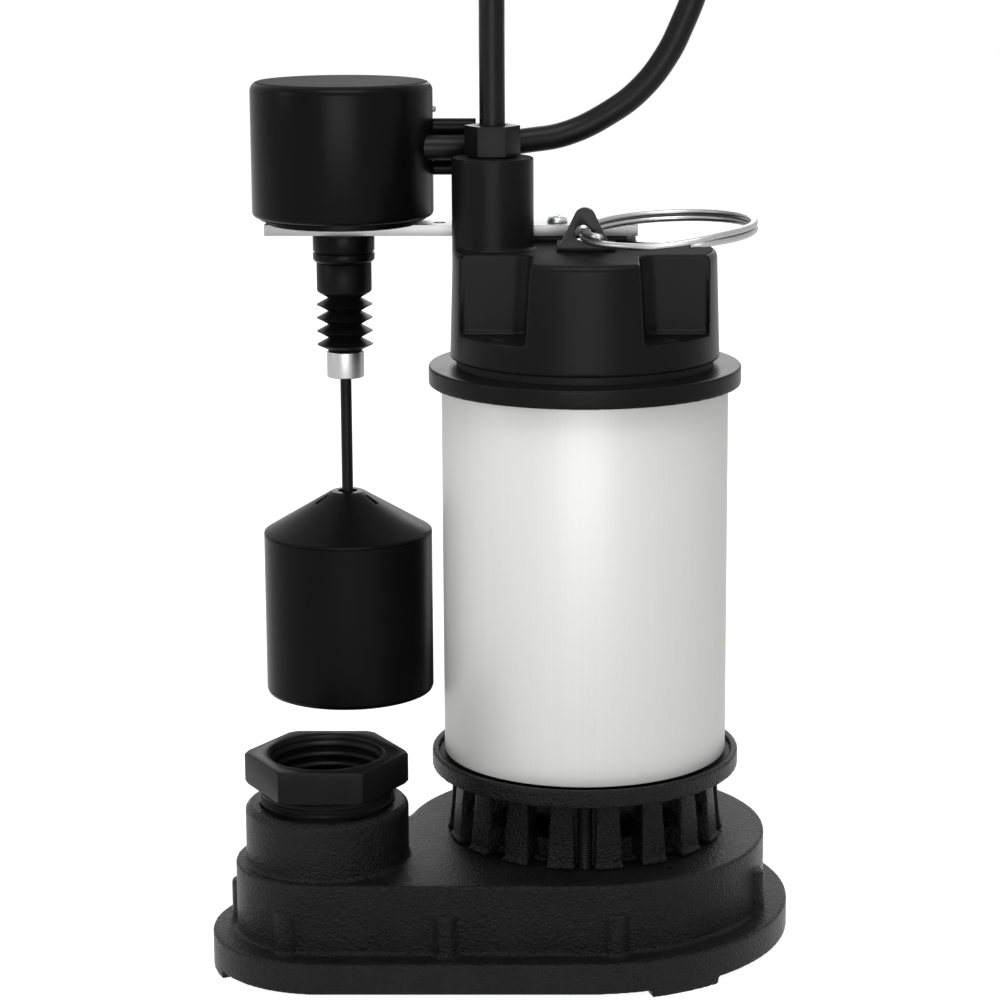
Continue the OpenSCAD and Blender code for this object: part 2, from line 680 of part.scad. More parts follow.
// Upper end bell: the ring that shows, a web over the motor and the upper bearing's hub
wire_hole_r = 7;
module upper_end_bell() color([0.09, 0.09, 0.095]) difference() {
    at_motor() difference() {
        union() {
            translate([0, 0, ring_z]) cylinder(r = ring_r, h = ring_h);
            translate([0, 0, upper_bearing_z - 1])
                cylinder(r = bearing_r + bearing_wall, h = neck_z - bell_web - upper_bearing_z + 2);
        }
        translate([0, 0, ring_z - 1]) difference() {
            cylinder(r = tube_r + 0.1, h = bell_groove + 1);
            translate([0, 0, -1]) cylinder(r = tube_r - tube_t - 0.1, h = bell_groove + 3);
        }
        translate([0, 0, ring_z - 1]) difference() {
            cylinder(r = tube_r - tube_t - 4, h = ring_h - bell_web + 1);
            translate([0, 0, -1]) cylinder(r = bearing_r + bearing_wall - 1, h = ring_h);
            for (a = [45 : 90 : 315]) rotate(a) translate([bolt_circle_r, 0, -1])
                cylinder(r = tie_boss_r, h = ring_h);
        }
        translate([0, 0, upper_bearing_z - 2]) cylinder(r = bearing_r, h = bearing_w + 2);
        translate([0, 0, upper_bearing_z]) cylinder(r = shaft_hole_r, h = bearing_w + 4);
        translate([-38, 0, ring_z - 1]) cylinder(r = wire_hole_r, h = ring_h + 2);
    }
    at_bolts() translate([0, 0, ring_z - 1]) cylinder(r = bolt_r + running_gap, h = ring_h + 2);
}

module cap_gasket() color([0.03, 0.03, 0.03]) difference() {
    at_motor() translate([0, 0, neck_z]) difference() {
        cylinder(r = cap_r - 2.6, h = cap_neck_h);
        translate([0, 0, -1]) cylinder(r = bolt_circle_r - tie_boss_r, h = cap_neck_h + 2);
    }
    at_bolts() translate([0, 0, neck_z - 1]) cylinder(r = bolt_r + running_gap, h = cap_neck_h + 2);
}

// Top cap: round moulding with four bolt pockets and the cord tower
tower_x = 39.5;
tower_y = 3;
pocket_z = cap_deck_z - pocket_h;
pocket_wall = 4.4;
pocket_out = cap_top_r - pocket_wall;
land_draft = 2;
pocket_corner = 9;
edge_r = 3;
head_sink = 5.4;
bolt_head_r = 4.2;
bolt_head_h = 5;
module each_pocket() at_motor() for (sx = [0, 1], sy = [0, 1]) mirror([sx, 0, 0]) mirror([0, sy, 0]) children();
module pocket_cut(grow) {
    low = pocket_z - grow;
    difference() {
        translate([0, -(pocket_y - grow), 0]) rotate([90, 0, 0]) linear_extrude(cap_r)
            polygon([[land_w + land_draft - grow, low], [pocket_out + grow, low],
                [pocket_out + grow, cap_deck_z + 1], [land_w - grow, cap_deck_z + 1]]);
        translate([land_w + land_draft / 2 - grow, -(pocket_y - grow), low - 1])
            rotate([0, -atan(land_draft / pocket_h), 0]) translate([-1, -pocket_corner + 0.1, -3]) difference() {
                cube([pocket_corner + 0.9, pocket_corner + 1, pocket_h + grow + 8]);
                translate([pocket_corner + 0.9, 0, -1]) cylinder(r = pocket_corner, h = pocket_h + grow + 10);
            }
    }
}
module cap_profile() {
    polygon([[0, cap_z], [cap_r, cap_z], [cap_top_r, cap_deck_z - edge_r],
        [cap_top_r - edge_r, cap_deck_z - edge_r], [cap_top_r - edge_r, cap_deck_z], [0, cap_deck_z]]);
    intersection() {
        translate([cap_top_r - edge_r, cap_deck_z - edge_r]) circle(r = edge_r);
        translate([cap_top_r - edge_r - eps, cap_deck_z - edge_r - eps]) square(2 * edge_r);
    }
}
module cap_cavity() rotate_extrude() polygon([[0, cap_z - 1], [cap_r - cap_t, cap_z - 1],
    [cap_top_r - cap_t, cap_deck_z - cap_t], [0, cap_deck_z - cap_t]]);
bar_y = 30.5;
bar_screws = [-bar_pitch / 2, bar_pitch / 2];
bar_screw_r = 2;
ear_y = -12;
module deck_bosses() {
    for (x = bar_screws) translate([x, bar_y, cap_deck_z - 14]) cylinder(r = bar_screw_r + 3, h = 14 - eps);
    translate([0, 0, cap_deck_z - 10]) cylinder(r = bar_screw_r + 3, h = 10 - eps);
}
tower_bore_r = 13;
gland_thread_r = 9;
gland_thread_h = 12;
module top_cap() color([0.085, 0.085, 0.09]) difference() {
    union() {
        at_motor() rotate_extrude() cap_profile();
        at_motor() translate([-tower_x, tower_y, cap_z]) cylinder(r = tower_r, h = tower_z - cap_z);
    }
    difference() {
        at_motor() difference() {
            cap_cavity();
            deck_bosses();
        }
        each_pocket() pocket_cut(cap_t);
        at_bolts() translate([0, 0, cap_z - 1]) cylinder(r = tie_boss_r, h = pocket_z - cap_z + 1);
    }
    each_pocket() pocket_cut(0);
    at_motor() translate([-tower_x, tower_y, cap_z + 20]) cylinder(r = tower_bore_r, h = tower_z - cap_z - 20 - gland_thread_h - 2);
    at_motor() translate([-tower_x, tower_y, tower_z - gland_thread_h - 3]) cylinder(r = gland_thread_r, h = gland_thread_h + 4);
    at_bolts() {
        translate([0, 0, cap_z - 1]) cylinder(r = bolt_r + running_gap, h = cap_h);
        translate([0, 0, pocket_z - head_sink]) cylinder(r = bolt_head_r + running_gap, h = head_sink + 1);
    }
    at_motor() for (x = bar_screws) translate([x, bar_y, cap_deck_z - 12]) cylinder(r = bar_screw_r, h = 13);
    at_motor() translate([0, 0, cap_deck_z - 8]) cylinder(r = bar_screw_r, h = 9);
}

module tie_bolts() color([0.62, 0.63, 0.65]) at_bolts() {
    translate([0, 0, pocket_z - head_sink]) cylinder(r = bolt_head_r, h = bolt_head_h);
    translate([0, 0, lip_z + 1]) cylinder(r = bolt_r - face_gap, h = pocket_z - head_sink - lip_z);
}

capacitor_r = 17;
capacitor_l = 34;
module capacitor() color([0.25, 0.27, 0.3]) at_motor() translate([14, 0, neck_z]) {
    cylinder(r = capacitor_r, h = capacitor_l);
    for (y = [-6, 6]) translate([-1, y - 3, capacitor_l - eps]) cube([0.8, 6, 6]);
}

gland_bore_r = cord_d / 2 + 0.4;
nut_foot = 0.8;
module gland_nut() color([0.1, 0.1, 0.105]) at_motor() translate([-tower_x, tower_y, tower_z]) difference() {
    union() {
        translate([0, 0, nut_foot]) cylinder(r = gland_af / sqrt(3), h = gland_h - nut_foot, $fn = 6);
        cylinder(r = gland_af / 2 - 0.4, h = nut_foot + lap);
        translate([0, 0, -gland_thread_h]) cylinder(r = gland_thread_r - face_gap, h = gland_thread_h + lap);
    }
    translate([0, 0, -gland_thread_h - 1]) cylinder(r = gland_bore_r, h = gland_h + gland_thread_h + 2);
    translate([0, 0, -gland_thread_h - 1]) cylinder(r = gland_bore_r + 1.5, h = gland_thread_h);
}
module gland_grommet() color([0.03, 0.03, 0.03]) at_motor()
    translate([-tower_x, tower_y, tower_z - gland_thread_h]) difference() {
        cylinder(r = gland_bore_r + 1.5 - face_gap, h = gland_thread_h - 1 - face_gap);
        translate([0, 0, -1]) cylinder(r = cord_d / 2, h = gland_thread_h + 2);
    }

// Lift ear: bent sheet with a rounded, holed upright and a foot that runs back
ear_tip_r = 4.6;
ear_foot = 21;
ear_hole_h = ear_h - 11.1;
hole_x = -0.8;
module ear_outline() {
    tip = [0, ear_h - ear_tip_r];
    d = norm([ear_w, tip[1]]);
    a = atan2(tip[1], -ear_w) - asin(ear_tip_r / d);
    run = sqrt(d * d - ear_tip_r * ear_tip_r);
    touch = [ear_w, 0] + run * [cos(a), sin(a)];
    polygon([[-ear_w, 0], [ear_w, 0], touch, [-touch[0], touch[1]]]);
    translate(tip) circle(r = ear_tip_r, $fn = 64);
}
ear_screw_y = 0;
module lift_ear() color([0.06, 0.06, 0.065]) at_motor() translate([0, 0, cap_deck_z]) difference() {
    union() {
        translate([0, ear_y + ear_t, 0]) rotate([90, 0, 0]) linear_extrude(ear_t) ear_outline();
        translate([-ear_w, ear_y, 0]) cube([2 * ear_w + 1, ear_foot, ear_t]);
    }
    translate([hole_x, ear_y - 1, ear_hole_h]) rotate([-90, 0, 0]) cylinder(r = ear_hole_r, h = ear_t + 2);
    translate([0, ear_screw_y, -1]) cylinder(r = bar_screw_r + running_gap, h = ear_t + 2);
}
module lift_ear_screw() color([0.3, 0.3, 0.32]) at_motor() translate([0, ear_screw_y, cap_deck_z]) {
    translate([0, 0, ear_t]) cylinder(r1 = 4.2, r2 = 3.4, h = 1.5);
    translate([0, 0, -8 + 0.5]) cylinder(r = bar_screw_r - face_gap, h = ear_t + 8 - 0.5 + eps);
}

// Split ring: two turns of flat wire that leans on the end of the bar
ring_tilt = 2.2;
ring_rise = 2.9;
ring_steps = 72;
ring_start = -78;
ring_sweep = 655;
ring_lift = wire_t + 0.1;
step_arc = 50;
function ring_level(a) = let (u = a - 360 + step_arc / 2) max(0, min(1, u / step_arc));
module lift_ring() color([0.8, 0.8, 0.8]) at_motor()
    translate([hole_x, ear_y + ear_t / 2, cap_deck_z + ear_hole_h]) rotate([ring_tilt, -ring_rise, 0])
        translate([lift_r, 0, -ring_lift / 2])
            swept([for (i = [0 : ring_steps]) let (a = ring_sweep * i / ring_steps, b = ring_start + a)
                [lift_r * cos(b), lift_r * sin(b), ring_lift * ring_level(a)]],
                [[-wire_w / 2, -wire_t / 2 + 0.7], [-wire_w / 2 + 0.7, -wire_t / 2], [wire_w / 2 - 0.7, -wire_t / 2],
                [wire_w / 2, -wire_t / 2 + 0.7], [wire_w / 2, wire_t / 2 - 0.7], [wire_w / 2 - 0.7, wire_t / 2],
                [-wire_w / 2 + 0.7, wire_t / 2], [-wire_w / 2, wire_t / 2 - 0.7]]);

// Switch bracket: shallow channel with its lips turned down
bar_z = cap_deck_z + pad_t;
bar_top = bar_z + bar_h;
bar_right = 23.1;
switch_x = -106;
spare_hole_x = -63.8;
spare_hole_r = 2.8;
spigot_thread_r = 6;
module switch_bracket() color([0.82, 0.82, 0.82]) at_motor() difference() {
    translate([bar_right - bar_l, bar_y - bar_w / 2, bar_z]) cube([bar_l, bar_w, bar_h]);
    translate([bar_right - bar_l - 1, bar_y - bar_w / 2 + bar_t, bar_z - 1])
        cube([bar_l + 2, bar_w - 2 * bar_t, bar_h - bar_t + 1]);
    for (x = bar_screws) translate([x, bar_y, bar_z]) cylinder(r = bar_screw_r + running_gap, h = bar_h + 1);
    translate([spare_hole_x, bar_y, bar_z]) cylinder(r = spare_hole_r, h = bar_h + 1);
    translate([switch_x, bar_y, bar_z]) cylinder(r = spigot_thread_r + running_gap, h = bar_h + 1);
}
pad_l = 37;
module bracket_pad() color([0.04, 0.04, 0.04]) at_motor() difference() {
    union() {
        translate([-pad_l / 2, bar_y - bar_w / 2, cap_deck_z]) cube([pad_l, bar_w, pad_t]);
        translate([-pad_l / 2, bar_y - bar_w / 2 + bar_t + 0.2, cap_deck_z])
            cube([pad_l, bar_w - 2 * bar_t - 0.4, pad_t + bar_h - bar_t]);
    }
    for (x = bar_screws) translate([x, bar_y, cap_deck_z - 1]) cylinder(r = bar_screw_r + running_gap, h = bar_h + pad_t + 2);
}
module bracket_screws() color([0.78, 0.78, 0.8]) at_motor() for (x = bar_screws) translate([x, bar_y, bar_top]) {
    cylinder(r = 4.4, h = 1.2);
    translate([0, 0, 1.2 - eps]) cylinder(r1 = 4.4, r2 = 3, h = 1.8);
    translate([0, 0, -bar_h - pad_t - 11]) cylinder(r = bar_screw_r - face_gap, h = bar_h + pad_t + 11 + eps);
}

// Float switch
housing_z = bar_top + switch_seat_h;
housing_t = 3;
housing_edge = 4;
module at_switch() translate([motor_x + switch_x, bar_y, 0]) children();
outlet_z = 347;
outlet_end = -47.5;
cord_out_y = 20.5;
nub_z = 47.5;
module switch_housing() color([0.07, 0.07, 0.075]) at_switch() translate([0, 0, housing_z]) difference() {
    union() {
        translate([switch_r - 1, 0, nub_z]) rotate([0, 90, 0]) cylinder(r = 1.2, h = 2, $fn = 32);
        rotate_extrude() housing_profile();
    }
    translate([0, 0, -1]) cylinder(r = switch_r - housing_t, h = switch_h - housing_t + 1);
    translate([0, cord_out_y - bar_y, outlet_z - housing_z]) rotate([0, 90, 0])
        cylinder(d = cord_d, h = 2 * switch_r);
}
module housing_profile() {
    polygon([[0, 0], [switch_r - 1, 0], [switch_r, 1], [switch_r, switch_h - housing_edge],
        [switch_r - housing_edge, switch_h - housing_edge], [switch_r - housing_edge, switch_h], [0, switch_h]]);
    intersection() {
        translate([switch_r - housing_edge, switch_h - housing_edge]) circle(r = housing_edge);
        translate([switch_r - housing_edge - eps, switch_h - housing_edge - eps]) square(2 * housing_edge);
    }
}
base_in = 4;
module switch_base() color([0.05, 0.05, 0.055]) at_switch() difference() {
    union() {
        translate([0, 0, bar_top]) cylinder(r = switch_r - housing_t - 4, h = switch_seat_h);
        translate([0, 0, housing_z - eps]) cylinder(r = switch_r - housing_t - 0.1, h = base_in);
        translate([0, 0, bar_z - locknut_h + 1]) cylinder(r = spigot_thread_r, h = bar_h + locknut_h + 1);
    }
    translate([0, 0, bar_z - locknut_h]) cylinder(r = rod_r + running_gap, h = 3 * locknut_h);
}

// Cord outlet on the housing: two ribs with a web behind the cord
rib_up_r = 3.7;
rib_low_r = 2.95;
rib_up_z = outlet_z + 8.3;
rib_low_z = outlet_z - 9.8;
rib_y = 29;
module switch_outlet() color([0.07, 0.07, 0.075]) difference() {
    at_motor() {
        x0 = switch_x + switch_r - 4;
        translate([x0, rib_y, rib_up_z]) rotate([0, 90, 0]) cylinder(r = rib_up_r, h = outlet_end - x0, $fn = 48);
        translate([x0, rib_y, rib_low_z]) rotate([0, 90, 0]) cylinder(r = rib_low_r, h = outlet_end - x0, $fn = 48);
        translate([x0, rib_y + 0.8, rib_low_z]) cube([outlet_end - x0 - 2, 2, rib_up_z - rib_low_z]);
    }
    at_switch() translate([0, 0, housing_z]) cylinder(r = switch_r + face_gap, h = switch_h);
}

micro_l = 28;
module micro_switch() color([0.12, 0.12, 0.14]) at_switch() translate([-micro_l / 2, -5, housing_z + 22]) {
    cube([micro_l, 10, 16]);
    for (x = [3, 12, 22]) translate([x, 4.6, 16 - eps]) cube([3, 0.8, 6]);
    translate([micro_l / 2 - 1.5, 3.5, -2]) cube([3, 3, 2 + eps]);
    for (x = [4, micro_l - 8]) translate([x, 1, -(22 - base_in)]) cube([4, 2, 22 - base_in + eps]);
}

nut_bottom = bar_z - locknut_h;
nut_split = 7.3;
module switch_locknut() color([0.06, 0.06, 0.065]) at_switch() difference() {
    rotate_extrude() polygon([[spigot_thread_r + face_gap, bar_z], [locknut_r, bar_z], [locknut_r, bar_z - nut_split],
        [locknut_r - 0.6, bar_z - nut_split - 0.4], [locknut_r, bar_z - nut_split - 0.8],
        [locknut_r, nut_bottom + 1.2], [locknut_r - 1.2, nut_bottom], [spigot_thread_r + face_gap, nut_bottom]]);
}

// Rubber boot: collar and folds round the rod, closed by the ferrule
boot_t = 1.2;
boot_valley_r = 7;
fold_top = nut_bottom - boot_collar_h;
shoulder_h = 2.5;
fold_p = (boot_fold_h - shoulder_h) / fold_n;
function fold_points(into) = [for (i = [0 : fold_n - 1]) each [
    [boot_valley_r - into, fold_top - shoulder_h - i * fold_p],
    [boot_r - 1.6 * into, fold_top - shoulder_h - (i + 0.5) * fold_p]]];
fold_bottom = fold_top - boot_fold_h;
module bellows_boot() color([0.03, 0.03, 0.03]) at_switch() rotate_extrude()
    polygon(concat([[boot_r - boot_t - 1, nut_bottom], [boot_r - 0.6, nut_bottom], [boot_r - 0.2, nut_bottom - 0.6],
        [boot_r - 0.2, fold_top + 0.8], [boot_r - 1, fold_top]], fold_points(0),
        [[boot_valley_r, fold_bottom + 0.6], [boot_valley_r, fold_bottom],
        [rod_r + running_gap, fold_bottom], [rod_r + running_gap, fold_bottom + 1],
        [boot_valley_r - boot_t, fold_bottom + 1]],
        [for (i = [len(fold_points(boot_t)) - 1 : -1 : 0]) fold_points(boot_t)[i]],
        [[boot_r - boot_t - 1, fold_top + 1]]));

ferrule_z = fold_bottom - ferrule_h;
module boot_ferrule() color([0.8, 0.8, 0.8]) at_switch() translate([0, 0, ferrule_z]) difference() {
    cylinder(r = ferrule_r, h = ferrule_h - face_gap);
    translate([0, 0, -1]) cylinder(r = rod_r, h = ferrule_h + 2);
}

float_top = ferrule_z - rod_free;
float_z = float_top - cone_h - float_h;
rod_low = float_z - 1;
rod_high = housing_z + 19.6 - 8;
module float_rod() color([0.12, 0.12, 0.125]) at_switch() translate([0, 0, rod_low]) cylinder(r = rod_r, h = rod_high - rod_low);
stop_r = 6;
stop_h = 3;
module rod_stop() color([0.7, 0.7, 0.72]) at_switch() translate([0, 0, float_z]) difference() {
    cylinder(r = stop_r, h = stop_h);
    translate([0, 0, -1]) cylinder(r = rod_r, h = stop_h + 2);
}

// Float: a turned shell with a cone, closed by a base that carries the guide tube
cone_tip_r = 7.2;
base_h = 2.2;
guide_r = 4.3;
float_bore_r = rod_r + running_gap;
slit_angles = [-144, -36, 36, 144];
slit_r = 12.8;
slit_l = 7;
module float_shell() color([0.06, 0.06, 0.065]) at_switch() translate([0, 0, float_z]) difference() {
    rotate_extrude() polygon([[float_r, base_h], [float_r, float_h], [float_r - 1, float_h + 0.8],
        [cone_tip_r, float_h + cone_h], [guide_r + 0.1, float_h + cone_h], [guide_r + 0.1, float_h + cone_h - 3],
        [float_r - float_t - 0.5, float_h - float_t], [float_r - float_t, float_h - float_t - 1],
        [float_r - float_t, base_h]]);
    for (a = slit_angles) rotate(a) translate([slit_r, 0, float_h + cone_h - (slit_r - cone_tip_r) * cone_h / (float_r - cone_tip_r)])
        rotate([0, atan(cone_h / (float_r - cone_tip_r)), 0]) cube([slit_l, 1, 1.6], center = true);
}
stop_gap = 0.3;
module float_base() color([0.06, 0.06, 0.065]) at_switch() translate([0, 0, float_z]) difference() {
    union() {
        rotate_extrude() polygon([[0, 0], [float_r - 2, 0], [float_r - 0.6, 0.6], [float_r, 2],
            [float_r, base_h - face_gap], [float_r - float_t - 0.1, base_h - face_gap],
            [float_r - float_t - 0.1, base_h + 2], [float_r - float_t - 2, base_h + 2],
            [float_r - float_t - 2, base_h], [0, base_h]]);
        cylinder(r = stop_r + 2.5, h = stop_h + 3);
        cylinder(r = guide_r, h = float_h + cone_h - 1.5);
    }
    translate([0, 0, -1]) cylinder(r = float_bore_r, h = float_h + cone_h);
    translate([0, 0, -1]) cylinder(r = stop_r + running_gap, h = stop_h + stop_gap + 1);
}

// Cords. Each route starts in its gland, rises, turns over behind the pump and goes down to the floor,
// where the rest of the cord lies in a coil.
coil_x = 35;
coil_y = 200;
coil_turn_r = [50.5, 61.5];
coil_h = 3 * cord_d;
power_route = [[-4, 3, 336], [-4, 3, 358], [-4, 3, 375], [-4, 3, 395], [-4, 3.5, 414], [-4.5, 9, 431],
    [-5, 21, 446], [-5.5, 37, 456], [-6, 54, 459], [-6.5, 71, 454], [-7, 85, 442], [-7, 94, 426], [-7, 97, 406],
    [-7, 97, 380], [-7, 97, 350], [-7, 97, 320], [-7, 97, 290], [-7, 97, 260], [-7, 97, 230], [-7, 97, 200],
    [-7, 97, 170], [-7, 97, 140], [-7, 97, 110], [-7, 97, 80], [-7, 98, 58], [-8, 102, 38], [-10, 111, 20],
    [-13, 125, 9], [-17, 141, 5.5], [-21, 158, 5.5], [-25, 176, 5.5], [-26.5, 194, 5.5]];
power_tail = [[-12, 240, 16.5], [-3, 248.5, 16.5], [8, 256, 16.5], [19, 263.5, 15], [29, 270.5, 13.5],
    [38, 277, 13]];
power_plug_at = [56, 290, 13];
power_plug_turn = 216;
switch_route = [[-40, 20.5, 347], [-30, 20.5, 347], [-18, 22.5, 347], [-4, 27, 347.5], [9, 30, 349],
    [27.5, 33.5, 352], [47, 34, 361.5], [59.5, 35, 371], [71, 36, 385.5], [78, 37, 399.5], [84, 38.5, 415],
    [88, 42, 432], [87, 49, 449], [79, 59, 464], [66, 70, 474], [50, 81, 478], [34, 92, 475], [18, 101, 466],
    [5, 107, 452], [-4, 110, 435], [-7.5, 110, 415], [-7.5, 110, 390], [-7.5, 110, 360], [-7.5, 110, 330],
    [-7.5, 110, 300], [-7.5, 110, 270], [-7.5, 110, 240], [-7.5, 110, 210], [-7.5, 110, 180], [-7.5, 110, 150],
    [-7.5, 110, 120], [-7.5, 112, 95], [-8.5, 117, 74], [-12, 127, 55], [-16, 141, 43], [-20, 158, 38.5],
    [-24, 176, 38.5], [-26.5, 194, 38.5]];
switch_tail = [[-26, 208, 60.5], [-21.5, 226, 61.5], [-11, 242, 66], [4, 254, 73], [20.7, 259.7, 79]];
switch_plug_at = [42, 254, 79];
switch_plug_turn = 165;
cord_sides = 10;
module cord_tube(route) swept(route, round_section(cord_d / 2, cord_sides));
module power_cord() color([0.05, 0.05, 0.055]) {
    cord_tube(power_route);
    cord_tube(power_tail);
}
module switch_cord() color([0.05, 0.05, 0.055]) {
    cord_tube(switch_route);
    cord_tube(switch_tail);
}
module coil(z) color([0.05, 0.05, 0.055]) translate([coil_x, coil_y, z]) difference() {
    cylinder(r = coil_turn_r[1] + cord_d / 2, h = coil_h - face_gap);
    translate([0, 0, -1]) cylinder(r = coil_turn_r[0] - cord_d / 2, h = coil_h + 2);
}
module power_cord_coil() coil(0);
module switch_cord_coil() coil(coil_h);

// Mains plugs: the float switch has a piggyback one with a socket on its back
plug_l = 36;
plug_w = 28;
plug_h = 26;
pin_l = 17;
module plug_body() {
    translate([-plug_l / 2, 0, 0]) cube([plug_l, plug_w, plug_h], center = true);
    rotate([0, 90, 0]) cylinder(r1 = 10, r2 = 6.5, h = 22, $fn = 48);
}
module plug_pins() {
    for (y = [-6.35, 6.35]) translate([-plug_l - pin_l, y - 0.75, 1]) cube([pin_l + eps, 1.5, 6.3]);
    translate([-plug_l - pin_l, 0, -7]) rotate([0, 90, 0]) cylinder(r = 2.4, h = pin_l + eps, $fn = 32);
}
module power_plug() color([0.05, 0.05, 0.055]) translate(power_plug_at) rotate(power_plug_turn) {
    plug_body();
    plug_pins();
}
module switch_plug() color([0.05, 0.05, 0.055]) translate(switch_plug_at) rotate(switch_plug_turn) {
    plug_body();
    plug_pins();
}

volute_casing();
base_plate();
base_gasket();
base_screws();
impeller();
impeller_nut();
motor_support();
support_screws();
seal_seat();
seal_rotary();
seal_spring();
discharge_adapter();
motor_tube();
tube_seal_lower();
tube_seal_upper();
stator_core();
windings_lower();
windings_upper();
rotor_core();
rotor_end_rings();
shaft();
lower_bearing_outer();
lower_bearing_inner();
lower_bearing_balls();
upper_bearing_outer();
upper_bearing_inner();
upper_bearing_balls();
upper_end_bell();
cap_gasket();
top_cap();
tie_bolts();
capacitor();
gland_nut();
gland_grommet();
power_cord();
power_cord_coil();
power_plug();
lift_ear();
lift_ear_screw();
lift_ring();
switch_bracket();
bracket_pad();
bracket_screws();
switch_housing();
switch_base();
switch_outlet();
micro_switch();
switch_locknut();
bellows_boot();
boot_ferrule();
float_rod();
rod_stop();
float_shell();
float_base();
switch_cord();
switch_cord_coil();
switch_plug();
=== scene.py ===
import json
import math

import bpy
from mathutils import Matrix, Vector


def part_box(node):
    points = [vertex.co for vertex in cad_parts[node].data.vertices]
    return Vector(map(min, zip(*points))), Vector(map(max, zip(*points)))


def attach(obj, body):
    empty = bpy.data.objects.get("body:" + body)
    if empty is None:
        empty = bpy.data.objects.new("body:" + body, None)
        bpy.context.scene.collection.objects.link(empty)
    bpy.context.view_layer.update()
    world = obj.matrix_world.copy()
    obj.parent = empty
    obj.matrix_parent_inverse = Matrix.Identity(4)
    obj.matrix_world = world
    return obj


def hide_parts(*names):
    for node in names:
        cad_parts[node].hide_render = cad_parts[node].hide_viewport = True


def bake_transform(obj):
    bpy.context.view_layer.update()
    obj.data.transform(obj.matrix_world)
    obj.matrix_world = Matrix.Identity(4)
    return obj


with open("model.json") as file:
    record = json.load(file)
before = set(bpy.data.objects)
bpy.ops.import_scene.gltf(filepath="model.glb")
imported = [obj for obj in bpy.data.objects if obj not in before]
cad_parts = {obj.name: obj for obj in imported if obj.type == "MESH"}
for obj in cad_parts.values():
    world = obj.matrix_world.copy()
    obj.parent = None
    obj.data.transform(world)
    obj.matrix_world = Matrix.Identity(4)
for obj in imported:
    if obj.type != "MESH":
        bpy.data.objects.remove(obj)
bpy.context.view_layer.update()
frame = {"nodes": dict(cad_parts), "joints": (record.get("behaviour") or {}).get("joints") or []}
NODES = frame["nodes"]
bpy.ops.object.select_all(action="DESELECT")

# Studio: a pale floor, a white surround and four softboxes, in front, at the left, above and behind.
# The camera stands a little above the pump, 1.2 m in front of the motor's axis. Places are in metres.
FOCAL_MM = 102.9
SENSOR_MM = 36
SHIFT_X = -0.0849
SHIFT_Y = -0.0736
CAMERA_AT = (0.0355, -1.2175, 0.4659)
CAMERA_TILT_DEG = 78.94
FARTHEST = 50
camera_data = bpy.data.cameras.new("photo_camera")
camera_data.lens = FOCAL_MM
camera_data.sensor_width = SENSOR_MM
camera_data.shift_x = SHIFT_X
camera_data.shift_y = SHIFT_Y
camera_data.clip_end = FARTHEST
camera = bpy.data.objects.new("photo_camera", camera_data)
bpy.context.collection.objects.link(camera)
camera.location = CAMERA_AT
camera.rotation_euler = (math.radians(CAMERA_TILT_DEG), 0, 0)
bpy.context.scene.camera = camera
bpy.context.scene.view_settings.view_transform = "Standard"


def softbox(name, at, aim, wide, high, watts):
    """a flat square lamp at one place that faces another"""
    lamp = bpy.data.lights.new(name, "AREA")
    lamp.shape = "RECTANGLE"
    lamp.size = wide
    lamp.size_y = high
    lamp.energy = watts
    stand = bpy.data.objects.new(name, lamp)
    bpy.context.collection.objects.link(stand)
    stand.location = at
    stand.rotation_euler = (Vector(aim) - Vector(at)).to_track_quat("-Z", "Y").to_euler()
    return stand


MIDDLE = (0.036, 0, 0.2)
STRAINER = (0.036, 0, 0.1)
softbox("front_softbox", (0.036, -2.1, 0.4), MIDDLE, 1.3, 0.72, watts=20)
softbox("left_softbox", (-2.0, -0.6, 0.9), STRAINER, 0.5, 0.9, watts=7)
softbox("top_softbox", (0.036, -0.9, 2.2), MIDDLE, 1.4, 1.0, watts=33)
softbox("back_softbox", (0.036, 2.3, 1.3), MIDDLE, 1.5, 1.3, watts=16)


def seen_by(tree, *rays):
    """a value that is 1 for the named kinds of ray and 0 for the rest"""
    path = tree.nodes.new("ShaderNodeLightPath")
    value = path.outputs[rays[0]]
    for ray in rays[1:]:
        either = tree.nodes.new("ShaderNodeMath")
        either.operation = "MAXIMUM"
        tree.links.new(value, either.inputs[0])
        tree.links.new(path.outputs[ray], either.inputs[1])
        value = either.outputs[0]
    return value


def white(tree, kind, strength):
    """a white background or glow"""
    light = tree.nodes.new(kind)
    light.inputs["Color"].default_value = (1, 1, 1, 1)
    light.inputs["Strength"].default_value = strength
    return light


def mixed(tree, share, first, second, out_kind):
    """two shaders mixed by a share, put out as the tree's surface"""
    mix = tree.nodes.new("ShaderNodeMixShader")
    out = tree.nodes.new(out_kind)
    tree.links.new(share, mix.inputs["Fac"])
    tree.links.new(first.outputs[0], mix.inputs[1])
    tree.links.new(second.outputs[0], mix.inputs[2])
    tree.links.new(mix.outputs[0], out.inputs["Surface"])


FILL_STRENGTH = 0.34
SEEN_STRENGTH = 1.0
world = bpy.data.worlds.new("white_surround")
bpy.context.scene.world = world
world.use_nodes = True
sky = world.node_tree
sky.nodes.clear()
mixed(sky, seen_by(sky, "Is Camera Ray", "Is Glossy Ray", "Is Transmission Ray"),
      white(sky, "ShaderNodeBackground", FILL_STRENGTH), white(sky, "ShaderNodeBackground", SEEN_STRENGTH),
      "ShaderNodeOutputWorld")

